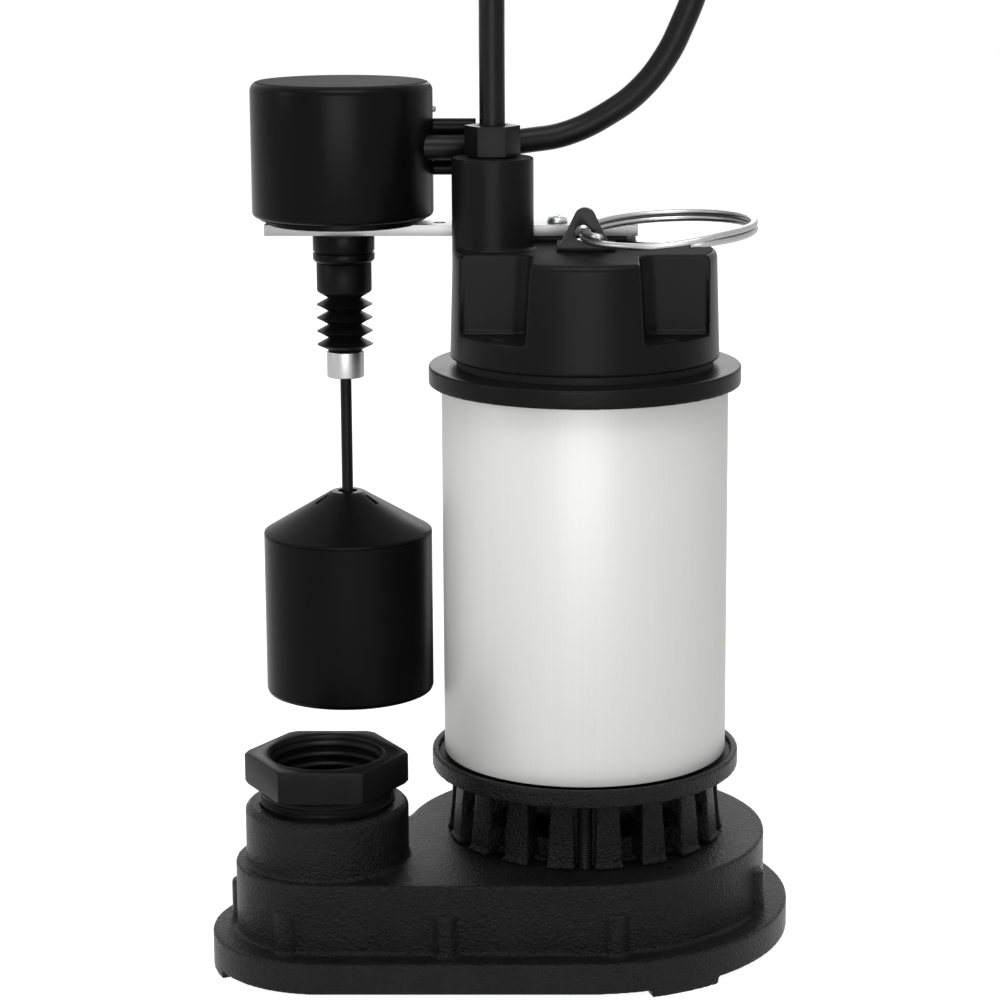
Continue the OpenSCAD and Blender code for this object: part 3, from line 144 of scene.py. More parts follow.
FLOOR_SIZE = 12
FLOOR_TONE = (0.86, 0.86, 0.86, 1)
GLOW_SHARE = 0.6
GLOW_STRENGTH = 1.55
bpy.ops.mesh.primitive_plane_add(size=FLOOR_SIZE, location=(0, 0, 0))
floor = bpy.context.object
floor.name = "studio_floor"
floor_paint = bpy.data.materials.new("pale_floor")
floor_paint.use_nodes = True
ground = floor_paint.node_tree
ground.nodes.clear()
matt = ground.nodes.new("ShaderNodeBsdfDiffuse")
matt.inputs["Color"].default_value = FLOOR_TONE
glow_share = ground.nodes.new("ShaderNodeMath")
glow_share.operation = "MULTIPLY"
glow_share.inputs[1].default_value = GLOW_SHARE
ground.links.new(seen_by(ground, "Is Camera Ray", "Is Glossy Ray"), glow_share.inputs[0])
mixed(ground, glow_share.outputs[0], matt, white(ground, "ShaderNodeEmission", GLOW_STRENGTH),
      "ShaderNodeOutputMaterial")
floor.data.materials.append(floor_paint)

# Cord jackets: round black synthetic rubber, 11 mm across, with a faint skin from the extruder.
# The power cord rises out of the gland, turns over and drops behind the pump to its coil.
# The switch cord leaves the switch between two ribs, passes over the cap and drops beside it.
GRAIN = bpy.data.node_groups.new("surface_grain", "ShaderNodeTree")
GRAIN.interface.new_socket("Grain Scale", in_out="INPUT", socket_type="NodeSocketFloat")
GRAIN.interface.new_socket("Cloud Scale", in_out="INPUT", socket_type="NodeSocketFloat")
GRAIN.interface.new_socket("Height", in_out="OUTPUT", socket_type="NodeSocketFloat")
GRAIN.interface.new_socket("Cloud", in_out="OUTPUT", socket_type="NodeSocketFloat")
g_in = GRAIN.nodes.new("NodeGroupInput")
g_out = GRAIN.nodes.new("NodeGroupOutput")
g_place = GRAIN.nodes.new("ShaderNodeTexCoord")
for scale, out, detail, roughness in (("Grain Scale", "Height", 2, 0.65), ("Cloud Scale", "Cloud", 4, 0.55)):
    g_noise = GRAIN.nodes.new("ShaderNodeTexNoise")
    g_noise.inputs["Detail"].default_value = detail
    g_noise.inputs["Roughness"].default_value = roughness
    GRAIN.links.new(g_place.outputs["Object"], g_noise.inputs["Vector"])
    GRAIN.links.new(g_in.outputs[scale], g_noise.inputs["Scale"])
    GRAIN.links.new(g_noise.outputs["Fac"], g_out.inputs[out])


def ranged(tree, value, low, high, to_low=0.0, to_high=1.0):
    """a mask stretched from one range to another"""
    stretch = tree.nodes.new("ShaderNodeMapRange")
    stretch.inputs["From Min"].default_value = low
    stretch.inputs["From Max"].default_value = high
    stretch.inputs["To Min"].default_value = to_low
    stretch.inputs["To Max"].default_value = to_high
    tree.links.new(value, stretch.inputs["Value"])
    return stretch.outputs["Result"]


def toned(tree, share, dark, light):
    """a colour between two, by a share"""
    colour = tree.nodes.new("ShaderNodeMix")
    colour.data_type = "RGBA"
    colour.inputs["A"].default_value = (*dark, 1)
    colour.inputs["B"].default_value = (*light, 1)
    tree.links.new(share, colour.inputs["Factor"])
    return colour.outputs["Result"]


def bumped(tree, height, depth, strength):
    """a normal that follows a height, which is depth metres at its most"""
    bump = tree.nodes.new("ShaderNodeBump")
    bump.inputs["Strength"].default_value = strength
    bump.inputs["Distance"].default_value = depth
    tree.links.new(height, bump.inputs["Height"])
    return bump.outputs["Normal"]


def grained(name, dark, light, rough, grain, depth, specular=0.35, cloud=40.0):
    """a finish with a fine grain and a slow change of tone; rough is its smoothest and roughest"""
    paint = bpy.data.materials.new(name)
    paint.use_nodes = True
    tree = paint.node_tree
    skin = tree.nodes["Principled BSDF"]
    skin.inputs["Specular IOR Level"].default_value = specular
    surface = tree.nodes.new("ShaderNodeGroup")
    surface.node_tree = GRAIN
    surface.inputs["Grain Scale"].default_value = grain
    surface.inputs["Cloud Scale"].default_value = cloud
    cloudy = surface.outputs["Cloud"]
    tree.links.new(toned(tree, ranged(tree, cloudy, 0.35, 0.65), dark, light), skin.inputs["Base Color"])
    tree.links.new(ranged(tree, cloudy, 0.3, 0.7, *rough), skin.inputs["Roughness"])
    tree.links.new(bumped(tree, surface.outputs["Height"], depth, strength=1.0), skin.inputs["Normal"])
    return paint


def dress(node, paint):
    """gives a CAD solid its finish"""
    solid = NODES[node]
    if not solid.material_slots:
        solid.data.materials.append(paint)
    for place in solid.material_slots:
        place.material = paint


JACKET = grained("cord_jacket", (0.0028, 0.0028, 0.003), (0.005, 0.005, 0.0053), (0.34, 0.44), 900, 0.00002,
                 0.12)
MM = 0.001
CORD_D = 0.011
CORD_MM = CORD_D / MM
COIL_AT = (35.0, 200.0)
COIL_R = {"out": 61.5, "in": 50.5}
COIL_STEP_DEG = 20
CROSSING_DEG = 50.0


def wound(start_deg, sweep_deg, cells, floor_mm):
    """points of a coil wound clockwise, turn by turn through the cells of its section"""
    points = []
    steps = round(sweep_deg / COIL_STEP_DEG)
    per_cell = sweep_deg / len(cells)
    for i in range(1, steps):
        went = sweep_deg * i / steps
        k = min(int(went / per_cell), len(cells) - 1)
        share = min(1.0, (went - k * per_cell) / CROSSING_DEG) if k else 1.0
        share = share * share * (3 - 2 * share)
        side, layer = cells[k]
        was_side, was_layer = cells[max(k - 1, 0)]
        r = COIL_R[was_side] * (1 - share) + COIL_R[side] * share
        z = floor_mm + CORD_MM / 2 + CORD_MM * (was_layer * (1 - share) + layer * share)
        a = math.radians(start_deg - went)
        points.append((COIL_AT[0] + r * math.cos(a), COIL_AT[1] + r * math.sin(a), z))
    return points


def cord_curve(name, points_mm, paint):
    """a round cord drawn through its points"""
    line = bpy.data.curves.new(name, "CURVE")
    line.dimensions = "3D"
    line.resolution_u = 6
    line.bevel_depth = CORD_D / 2
    line.bevel_resolution = 5
    line.use_fill_caps = True
    spline = line.splines.new("BEZIER")
    spline.bezier_points.add(len(points_mm) - 1)
    for knot, at in zip(spline.bezier_points, points_mm):
        knot.co = [v * MM for v in at]
        knot.handle_left_type = knot.handle_right_type = "AUTO"
    cord = bpy.data.objects.new(name, line)
    bpy.context.collection.objects.link(cord)
    line.materials.append(paint)
    return cord


COIL_START_DEG = 185.6
power_points = [(-4, 3, 350), (-4, 3, 360), (-4, 3, 375), (-4, 3, 395), (-4, 3.5, 414), (-4.5, 9, 431),
    (-5, 21, 446), (-5.5, 37, 456), (-6, 54, 459), (-6.5, 71, 454), (-7, 85, 442), (-7, 94, 426),
    (-7, 97, 406)]
power_points += [(-7, 97, z) for z in range(380, 79, -30)]
power_points += [(-7, 98, 58), (-8, 102, 38), (-10, 111, 20), (-13, 125, 9), (-17, 141, 5.5),
    (-21, 158, 5.5), (-25, 176, 5.5), (-26.5, 194, 5.5)]
power_cells = [("out", 0), ("in", 0), ("in", 1), ("in", 2), ("out", 2), ("out", 1)]
power_points += wound(COIL_START_DEG, 2206, power_cells, floor_mm=0)
power_points += [(-12, 240, 16.5), (-3, 248.5, 16.5), (8, 256, 16.5), (19, 263.5, 15), (29, 270.5, 13.5),
    (40, 278.4, 13)]
power_cord = cord_curve("power_cord_run", power_points, JACKET)
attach(power_cord, "pump")
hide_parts("power_cord", "power_cord_coil")

switch_points = [(-38, 20.5, 347), (-30, 20.5, 347), (-18, 22.5, 347), (-4, 27, 347.5), (9, 30, 349),
    (27.5, 33.5, 352), (47, 34, 361.5), (59.5, 35, 371), (71, 36, 385.5), (78, 37, 399.5), (84, 38.5, 415),
    (88, 42, 432), (87, 49, 449), (79, 59, 464), (66, 70, 474), (50, 81, 478), (34, 92, 475), (18, 101, 466),
    (5, 107, 452), (-4, 110, 435), (-7.5, 110, 415)]
switch_points += [(-7.5, 110, z) for z in range(390, 119, -30)]
switch_points += [(-7.5, 112, 95), (-8.5, 117, 74), (-12, 127, 55), (-16, 141, 43), (-20, 158, 38.5),
    (-24, 176, 38.5), (-26.5, 194, 38.5)]
switch_cells = [("out", 0), ("in", 0), ("in", 1), ("out", 1), ("in", 2), ("out", 2)]
switch_points += wound(COIL_START_DEG, 2173, switch_cells, floor_mm=33)
switch_points += [(-26, 208, 60.5), (-21.5, 226, 61.5), (-11, 242, 66), (4, 254, 73), (18.8, 260.2, 79)]
switch_cord = cord_curve("switch_cord_run", switch_points, JACKET)
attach(switch_cord, "pump")
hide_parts("switch_cord", "switch_cord_coil")

# Power plug and switch plug: moulded on the ends of the cords in black vinyl, each with a ribbed strain
# relief, two flat brass blades and a round earth pin. They lie on and behind the coil.
VINYL = grained("plug_vinyl", (0.0035, 0.0035, 0.004), (0.006, 0.006, 0.0065), (0.38, 0.5), 1300, 0.00003,
                0.12)
BRUSH = bpy.data.node_groups.new("brush_lines", "ShaderNodeTree")
BRUSH.interface.new_socket("Lines", in_out="INPUT", socket_type="NodeSocketVector")
BRUSH.interface.new_socket("Streak", in_out="OUTPUT", socket_type="NodeSocketFloat")
b_in = BRUSH.nodes.new("NodeGroupInput")
b_out = BRUSH.nodes.new("NodeGroupOutput")
b_place = BRUSH.nodes.new("ShaderNodeTexCoord")
b_stretch = BRUSH.nodes.new("ShaderNodeVectorMath")
b_stretch.operation = "MULTIPLY"
b_noise = BRUSH.nodes.new("ShaderNodeTexNoise")
b_noise.inputs["Scale"].default_value = 1.0
b_noise.inputs["Detail"].default_value = 2
BRUSH.links.new(b_place.outputs["Object"], b_stretch.inputs[0])
BRUSH.links.new(b_in.outputs["Lines"], b_stretch.inputs[1])
BRUSH.links.new(b_stretch.outputs[0], b_noise.inputs["Vector"])
BRUSH.links.new(b_noise.outputs["Fac"], b_out.inputs["Streak"])


def brushed(name, dark, light, rough, lines, depth, metallic=1.0, specular=0.5):
    """a bright metal with the lines of its brushing; lines are how many to the metre along X, Y and Z"""
    paint = bpy.data.materials.new(name)
    paint.use_nodes = True
    tree = paint.node_tree
    skin = tree.nodes["Principled BSDF"]
    skin.inputs["Metallic"].default_value = metallic
    skin.inputs["Specular IOR Level"].default_value = specular
    surface = tree.nodes.new("ShaderNodeGroup")
    surface.node_tree = BRUSH
    surface.inputs["Lines"].default_value = lines
    streak = surface.outputs["Streak"]
    tree.links.new(toned(tree, streak, dark, light), skin.inputs["Base Color"])
    tree.links.new(ranged(tree, streak, 0.0, 1.0, *rough), skin.inputs["Roughness"])
    tree.links.new(bumped(tree, streak, depth, strength=0.6), skin.inputs["Normal"])
    return paint


BRASS = brushed("pin_brass", (0.5, 0.36, 0.14), (0.66, 0.5, 0.22), (0.22, 0.32), (700, 700, 700), 0.000003)


def clear():
    """nothing is selected and Blender is out of edit mode"""
    if bpy.context.object and bpy.context.object.mode != "OBJECT":
        bpy.ops.object.mode_set(mode="OBJECT")
    bpy.ops.object.select_all(action="DESELECT")


def take(piece):
    """the piece alone is selected and active"""
    clear()
    bpy.context.view_layer.objects.active = piece
    piece.select_set(True)


def pick(piece, chosen):
    """only the faces that pass the test are selected, and the piece is open in edit mode"""
    take(piece)
    for part in (*piece.data.vertices, *piece.data.edges):
        part.select = False
    for face in piece.data.polygons:
        face.select = chosen(face)
    bpy.context.tool_settings.mesh_select_mode = (False, False, True)
    bpy.ops.object.mode_set(mode="EDIT")


def put_down(piece):
    """the piece is closed, and points are selected again in the next one"""
    bpy.ops.object.mode_set(mode="OBJECT")
    bpy.context.tool_settings.mesh_select_mode = (True, False, False)


def put_on(piece, kind, **settings):
    """a modifier with its settings, applied at once"""
    take(piece)
    tool = piece.modifiers.new(kind.lower(), kind)
    for key, value in settings.items():
        setattr(tool, key, value)
    bpy.ops.object.modifier_apply(modifier=tool.name)


def shaded(piece, degrees):
    """faces that meet under an angle shaded as one round surface"""
    take(piece)
    bpy.ops.object.shade_smooth_by_angle(angle=math.radians(degrees))


def eased(piece, edge, steps=2, angle=32.0, smooth=42.0):
    """the sharp edges of a piece rounded to a radius in mm, and its faces shaded round"""
    if edge:
        put_on(piece, "BEVEL", width=edge * MM, segments=steps, limit_method="ANGLE",
               angle_limit=math.radians(angle), harden_normals=False)
    shaded(piece, smooth)


def turned(name, rings, at, paint, sides=144, edge=0.0, steps=2, smooth=42.0):
    """a turned piece: a circle drawn out through its rings of radius and height in mm, on an upright axis"""
    clear()
    r, z = rings[0]
    x = at[0] * MM
    y = at[1] * MM
    bpy.ops.mesh.primitive_circle_add(vertices=sides, radius=r * MM, fill_type="NOTHING",
                                      location=(x, y, z * MM))
    piece = bpy.context.object
    piece.name = piece.data.name = name
    bpy.ops.object.transform_apply(location=True, rotation=True, scale=True)
    bpy.ops.object.mode_set(mode="EDIT")
    bpy.ops.mesh.select_all(action="SELECT")
    for (r0, z0), (r1, z1) in zip(rings, rings[1:]):
        bpy.ops.mesh.extrude_region_move(TRANSFORM_OT_translate={"value": (0, 0, (z1 - z0) * MM)})
        bpy.ops.transform.resize(value=(r1 / r0, r1 / r0, 1), center_override=(x, y, z1 * MM))
    bpy.ops.mesh.select_all(action="SELECT")
    bpy.ops.mesh.remove_doubles(threshold=0.002 * MM)
    bpy.ops.mesh.fill_holes(sides=0)
    bpy.ops.mesh.normals_make_consistent(inside=False)
    bpy.ops.object.mode_set(mode="OBJECT")
    piece.data.materials.append(paint)
    eased(piece, edge, steps, smooth=smooth)
    return piece


def block(name, low, high, paint, edge=0.0, steps=2):
    """a bar or block between two corners in mm, its edges rounded"""
    clear()
    middle = [(a + b) / 2 * MM for a, b in zip(low, high)]
    bpy.ops.mesh.primitive_cube_add(size=1, location=middle, scale=[(b - a) * MM for a, b in zip(low, high)])
    piece = bpy.context.object
    piece.name = piece.data.name = name
    bpy.ops.object.transform_apply(location=True, rotation=True, scale=True)
    piece.data.materials.append(paint)
    eased(piece, edge, steps)
    return piece


def joined(first, *others):
    """one piece made of several"""
    take(first)
    for other in others:
        other.select_set(True)
    bpy.ops.object.join()
    return first


def moved(x, y, z):
    """a shift in mm"""
    return Matrix.Translation((x * MM, y * MM, z * MM))


def rotated(axis, degrees):
    """a turn about one axis through the origin"""
    return Matrix.Rotation(math.radians(degrees), 4, axis)


PLUG_W = 27.2
PLUG_H = 25.2
PLUG_FACE_X = -36
PLUG_ROUND = 3.2
BLADE_Y = 6.35
BLADE_T = 1.6
BLADE_X = (-53, -35)
BLADE_Z = (0.4, 6.7)
EARTH_R = 2.4
EARTH_TIP = 53.2
EARTH_DROP = 6.5


def moulded_plug(name, at, turn):
    """a plug with its relief towards the cord, laid down at its place and turned about the vertical"""
    body = block(name, (PLUG_FACE_X, -PLUG_W / 2, -PLUG_H / 2), (-1, PLUG_W / 2, PLUG_H / 2), VINYL)
    pick(body, lambda face: face.normal.x > 0.9)
    bpy.ops.mesh.inset(thickness=3.5 * MM, depth=1.5 * MM)
    put_down(body)
    eased(body, PLUG_ROUND, 4)
    ribs = [(10, 0), (10, 3), (8.6, 3.6), (8.6, 5.4), (9.3, 6), (9.3, 8.4), (7.8, 9), (7.8, 10.8)]
    ribs += [(8.6, 11.4), (8.6, 13.8), (7.2, 14.4), (7.2, 16.2), (7.7, 16.8), (7.2, 22)]
    ribs += [(5.4, 22), (5.4, -2), (10, -2), (10, 0)]
    relief = turned(name + "_relief", ribs, (0, 0), VINYL, sides=48, edge=0.25)
    relief.data.transform(rotated("Y", 90))
    blades = []
    for y in (-BLADE_Y, BLADE_Y):
        low = (BLADE_X[0], y - BLADE_T / 2, BLADE_Z[0])
        high = (BLADE_X[1], y + BLADE_T / 2, BLADE_Z[1])
        blades.append(block(name + "_blade", low, high, BRASS, edge=0.35))
    pin = [(EARTH_R, 35), (EARTH_R, EARTH_TIP - 1.7), (EARTH_R / 2, EARTH_TIP - 0.2), (0.1, EARTH_TIP)]
    earth = turned(name + "_earth_pin", pin, (0, 0), BRASS, sides=32)
    earth.data.transform(moved(0, 0, -EARTH_DROP) @ rotated("Y", -90))
    plug = joined(body, relief, *blades, earth)
    plug.data.transform(moved(*at) @ rotated("Z", turn))
    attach(plug, "pump")
    return plug


power_plug = moulded_plug("power_plug_moulding", (56, 290, 13), turn=216)
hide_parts("power_plug")
switch_plug = moulded_plug("switch_plug_moulding", (42, 254, 79), turn=165)
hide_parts("switch_plug")

# Volute casing and its base plate: grey iron cast in sand, under a thin black paint that shows the
# grain of the sand. Round mould edges, round screw bosses, and short feet below the flange.
IRON = grained("black_cast_iron", (0.0022, 0.0022, 0.0025), (0.0042, 0.0042, 0.0046), (0.27, 0.36), 950,
               0.0013, 0.12, 60)


def copied(node, name, flat_deg=0.0):
    """a copy of a CAD solid with its loose faces merged, and with those dissolved that lie flat together"""
    mesh = NODES[node].data.copy()
    mesh.name = name
    piece = bpy.data.objects.new(name, mesh)
    bpy.context.collection.objects.link(piece)
    take(piece)
    bpy.ops.object.mode_set(mode="EDIT")
    bpy.ops.mesh.select_all(action="SELECT")
    bpy.ops.mesh.remove_doubles(threshold=0.004 * MM)
    if flat_deg:
        bpy.ops.mesh.dissolve_limited(angle_limit=math.radians(flat_deg))
    bpy.ops.object.mode_set(mode="OBJECT")
    return piece


def painted(piece, paint):
    """the piece has this finish and no other"""
    piece.data.materials.clear()
    piece.data.materials.append(paint)


def softened(node, name, paint, body="pump", voxel=0.8, passes=5, keep=0.5, cut=None):
    """a casting with the round edges of its mould, over the CAD solid that it stands for"""
    piece = copied(node, name)
    if cut:
        put_on(piece, "BOOLEAN", operation="DIFFERENCE", object=cut, solver="EXACT")
        bpy.data.objects.remove(cut, do_unlink=True)
    put_on(piece, "REMESH", mode="VOXEL", voxel_size=voxel * MM)
    put_on(piece, "SMOOTH", factor=0.5, iterations=passes)
    put_on(piece, "DECIMATE", ratio=keep)
    take(piece)
    bpy.ops.object.shade_smooth()
    painted(piece, paint)
    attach(piece, body)
    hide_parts(node)
    return piece


def crisp(node, name, paint, body="pump", edge=0.4, steps=2, angle=32.0):
    """a pressed or machined part with its edges just broken, over the CAD solid that it stands for"""
    piece = copied(node, name, flat_deg=0.6)
    eased(piece, edge, steps, angle)
    painted(piece, paint)
    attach(piece, body)
    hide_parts(node)
    return piece


softened("volute_casing", "volute_casting", IRON, passes=3, keep=0.3)
softened("base_plate", "base_plate_casting", IRON)
RUBBER = grained("black_rubber", (0.0035, 0.0035, 0.0035), (0.007, 0.007, 0.007), (0.5, 0.62), 1200, 0.00002,
                 0.15)
STEEL = brushed("zinc_plated_steel", (0.42, 0.43, 0.44), (0.56, 0.57, 0.58), (0.28, 0.42), (900, 900, 900),
                0.000004)
dress("base_gasket", RUBBER)
dress("base_screws", STEEL)

# Impeller, its nut and the face seal: a cast iron disc with curved vanes on the end of the shaft, and a
# carbon ring that a spring holds against a ceramic seat. They turn in the volute, out of sight.
BARE_IRON = grained("bare_cast_iron", (0.03, 0.03, 0.032), (0.06, 0.06, 0.062), (0.45, 0.6), 900, 0.0003,
                    0.4, 60)
CERAMIC = grained("seal_ceramic", (0.62, 0.6, 0.54), (0.7, 0.68, 0.62), (0.18, 0.28), 1500, 0.000005, 0.5,
                  50)
CARBON = grained("seal_carbon", (0.018, 0.018, 0.02), (0.03, 0.03, 0.032), (0.3, 0.45), 1500, 0.00001, 0.4,
                 50)
dress("impeller", BARE_IRON)
dress("impeller_nut", STEEL)
dress("seal_seat", CERAMIC)
dress("seal_rotary", CARBON)
dress("seal_spring", STEEL)

# Motor support: one iron casting with the strainer's tapered fins and round ports below and a lipped ring
# on top that holds the motor tube. The fins stand free at their feet, so the casting is cut open between
# them. Three blackened bolts hold it on the volute, and their threads show in its open bosses.
JOINTS = {joint["name"]: joint for joint in frame["joints"]}
MOTOR = [v / MM for v in JOINTS["rotor_spin"]["pos_m"][:2]]


def span(node, axis):
    """the lowest and highest place of a CAD node along X, Y or Z, in mm"""
    return [round(corner["XYZ".index(axis)] / MM, 2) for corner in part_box(node)]


def centre(node):
    """the middle of a CAD node seen from above, in mm"""
    return [sum(span(node, axis)) / 2 for axis in "XY"]


FIN_N = 18
FINS_PER_BOLT = 6
GAP_W = 8.6
GAP_FRONT = -64
GAP_FOOT = span("motor_support", "Z")[0] - 1
FOOT_RING_BACK = -52.5
FOOT_RING_TOP = 50.5
BOSS_GAP_W = 8.4
BOSS_GAP_BACK = -56.1
BOSS_GAP_TOP = 76


def twin(piece, turn_deg, out=0.0):
    """a copy with its own mesh, turned about the motor's axis from its place in front"""
    other = piece.copy()
    other.data = piece.data.copy()
    bpy.context.collection.objects.link(other)
    other.data.transform(moved(*MOTOR, 0) @ rotated("Z", turn_deg) @ moved(0, -out, 0))
    return other


fin_gap = block("strainer_gap", (-GAP_W / 2, GAP_FRONT, GAP_FOOT), (GAP_W / 2, FOOT_RING_BACK, FOOT_RING_TOP),
                IRON)
bolt_gap = block("screw_gap", (-BOSS_GAP_W / 2, GAP_FRONT, GAP_FOOT),
                 (BOSS_GAP_W / 2, BOSS_GAP_BACK, BOSS_GAP_TOP), IRON)
gaps = []
for i in range(FIN_N):
    gaps.append(twin(fin_gap if i % FINS_PER_BOLT else bolt_gap, 360 / FIN_N * i))
for cutter in (bolt_gap, fin_gap):
    bpy.data.objects.remove(cutter, do_unlink=True)
softened("motor_support", "strainer_casting", IRON, voxel=0.7, passes=3, cut=joined(*gaps))

BLACK_STEEL = grained("blackened_steel", (0.004, 0.004, 0.0045), (0.008, 0.008, 0.009), (0.3, 0.4), 1500,
                      0.00001, 0.15)
BOLT_R = 2.95
BOLT_ROOT_R = 2.55
BOLT_HEAD_R = 5
BOLT_CIRCLE_R = 54
BOLT_FOOT, BOLT_TOP = span("support_screws", "Z")
BOLT_HEAD_FOOT = BOLT_TOP - 3
THREAD_TOP = BOLT_HEAD_FOOT - 0.6
THREAD_TURNS = 34
bolt_rings = [(BOLT_HEAD_R, BOLT_TOP), (BOLT_HEAD_R, BOLT_HEAD_FOOT + 0.4)]
bolt_rings += [(BOLT_HEAD_R - 0.1, BOLT_HEAD_FOOT), (BOLT_R, BOLT_HEAD_FOOT)]
for turn in range(THREAD_TURNS):
    z = THREAD_TOP - turn
    bolt_rings += [(BOLT_R, z), (BOLT_ROOT_R, z - 0.4), (BOLT_ROOT_R, z - 0.5), (BOLT_R, z - 0.9)]
bolt_rings.append((BOLT_ROOT_R - 0.05, BOLT_FOOT + 0.7))
bolt = turned("support_bolt", bolt_rings, (0, 0), BLACK_STEEL, sides=32)
support_bolts = joined(*[twin(bolt, a, BOLT_CIRCLE_R) for a in range(0, 360, 120)])
bpy.data.objects.remove(bolt, do_unlink=True)
support_bolts.name = support_bolts.data.name = "support_bolts"
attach(support_bolts, "pump")
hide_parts("support_screws")

# Discharge adapter: black iron bush with a hexagon, screwed into the collar of the volute. Coarse rounded
# threads show inside its mouth and on the neck under the hexagon.
MACHINED = grained("machined_black_iron", (0.0045, 0.0045, 0.0048), (0.0065, 0.0065, 0.0068), (0.28, 0.36),
                   1500, 0.00002, 0.06, 50)
crisp("discharge_adapter", "adapter_bush", MACHINED, edge=0.7, steps=3)
DISCHARGE = centre("discharge_adapter")
ADAPTER_FOOT, ADAPTER_TOP = span("discharge_adapter", "Z")
MOUTH_R = 24.2
MOUTH_BACK_R = 24.6
MOUTH_TOP = ADAPTER_TOP - 2.1
MOUTH_FOOT = ADAPTER_FOOT + 5.4
MOUTH_PITCH = 4.6
MOUTH_TURNS = 7
mouth_rings = [(MOUTH_BACK_R, MOUTH_TOP)]
for turn in range(MOUTH_TURNS):
    z = MOUTH_TOP - 0.4 - MOUTH_PITCH * turn
    mouth_rings += [(MOUTH_R, z), (MOUTH_R - 1.3, z - 0.9), (MOUTH_R - 1.5, z - 1.3)]
    mouth_rings += [(MOUTH_R - 1.5, z - 1.9), (MOUTH_R - 1.3, z - 2.3), (MOUTH_R, z - 3.2)]
mouth_rings += [(MOUTH_BACK_R, MOUTH_FOOT), (MOUTH_BACK_R, MOUTH_TOP)]
mouth_thread = turned("mouth_thread", mouth_rings, DISCHARGE, MACHINED, sides=96, smooth=30)
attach(mouth_thread, "pump")
NECK_R = 28.4
NECK_BACK_R = 27.6
HEXAGON_H = 13.7
NECK_TOP = ADAPTER_TOP - HEXAGON_H - 0.2
NECK_FOOT = span("volute_casing", "Z")[1] + 0.2
NECK_PITCH = 2.3
NECK_TURNS = 3
neck_rings = [(NECK_BACK_R, NECK_TOP)]
for turn in range(NECK_TURNS):
    z = NECK_TOP - 0.7 - NECK_PITCH * turn
    neck_rings += [(NECK_R, z), (NECK_R + 0.7, z - 0.6), (NECK_R + 0.7, z - 0.9), (NECK_R, z - 1.5)]
neck_rings += [(NECK_BACK_R, NECK_FOOT), (NECK_BACK_R, NECK_TOP)]
neck_thread = turned("neck_thread", neck_rings, DISCHARGE, MACHINED, sides=96, smooth=30)
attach(neck_thread, "pump")

# Motor tube: stainless steel sheet, brushed along its length and rolled into a tube. It is pressed
# between the two castings on flat rubber rings.
STAINLESS = brushed("brushed_stainless", (0.53, 0.53, 0.525), (0.575, 0.575, 0.57), (0.44, 0.5),
                    (900, 900, 4), 0.000002, metallic=0.17, specular=0.15)
TUBE_R = 62
TUBE_IN_R = 60.5
TUBE_FOOT = span("motor_tube", "Z")[0] + 2.1
TUBE_TOP = span("motor_tube", "Z")[1] - 2
tube_rings = [(TUBE_R, TUBE_FOOT), (TUBE_R, TUBE_TOP), (TUBE_IN_R, TUBE_TOP), (TUBE_IN_R, TUBE_FOOT),
    (TUBE_R, TUBE_FOOT)]
tube = turned("motor_tube_sheet", tube_rings, MOTOR, STAINLESS, sides=192, edge=0.3)
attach(tube, "pump")
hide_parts("motor_tube")
dress("tube_seal_lower", RUBBER)
dress("tube_seal_upper", RUBBER)

# Motor inside the tube: stacked laminations with copper windings, a rotor with cast aluminium rings on a
# ground shaft, and two ball bearings. None of it shows.
LAMINATED = brushed("laminations", (0.2, 0.205, 0.21), (0.34, 0.345, 0.35), (0.35, 0.5), (4, 4, 2200),
                    0.00004)
COPPER = brushed("copper_winding", (0.5, 0.2, 0.07), (0.68, 0.3, 0.12), (0.25, 0.4), (4, 4, 1100), 0.0001)
ALUMINIUM = brushed("rotor_aluminium", (0.55, 0.56, 0.57), (0.68, 0.69, 0.7), (0.35, 0.5), (200, 200, 200),
                    0.00002)
GROUND = brushed("ground_steel", (0.52, 0.53, 0.54), (0.62, 0.63, 0.64), (0.16, 0.26), (5, 5, 2400),
                 0.000002)
dress("stator_core", LAMINATED)
dress("rotor_core", LAMINATED)
dress("windings_lower", COPPER)
dress("windings_upper", COPPER)
dress("rotor_end_rings", ALUMINIUM)
dress("shaft", GROUND)
for bearing in ("lower_bearing", "upper_bearing"):
    for part in ("outer", "inner", "balls"):
        dress(bearing + "_" + part, GROUND)

# Upper end bell and top cap: black moulded parts with a satin skin. The cap has four pockets for the tie
# bolts, round mould edges and the tower that the power cord leaves from. Its flat tops are finely textured.
SATIN = grained("satin_black", (0.004, 0.004, 0.0043), (0.0055, 0.0055, 0.0058), (0.31, 0.37), 1500,
                0.000006, 0.06, 16)
LID = grained("textured_black_plastic", (0.0035, 0.0035, 0.0038), (0.006, 0.006, 0.0064), (0.62, 0.72),
              2600, 0.00005, 0.04, 16)


def repainted(piece, paint, chosen):
    """the faces that pass the test have a second finish"""
    piece.data.materials.append(paint)
    for face in piece.data.polygons:
        if chosen(face):
            face.material_index = len(piece.data.materials) - 1


softened("upper_end_bell", "end_bell_casting", SATIN, voxel=0.7)
cap = softened("top_cap", "top_cap_moulding", SATIN, voxel=0.7, passes=6)
repainted(cap, LID, lambda face: face.normal.z > 0.93)
dress("cap_gasket", RUBBER)
dress("tie_bolts", BLACK_STEEL)
CAN = brushed("capacitor_can", (0.4, 0.41, 0.43), (0.52, 0.53, 0.55), (0.3, 0.42), (5, 5, 900), 0.000004)
dress("capacitor", CAN)

# Gland nut and grommet: a black hexagon nut on the tower squeezes a rubber sleeve round the power cord.
# The nut is turned from the same black iron as the adapter, with its corners broken.
crisp("gland_nut", "gland_nut_hexagon", MACHINED, edge=0.5, steps=3)
dress("gland_grommet", RUBBER)

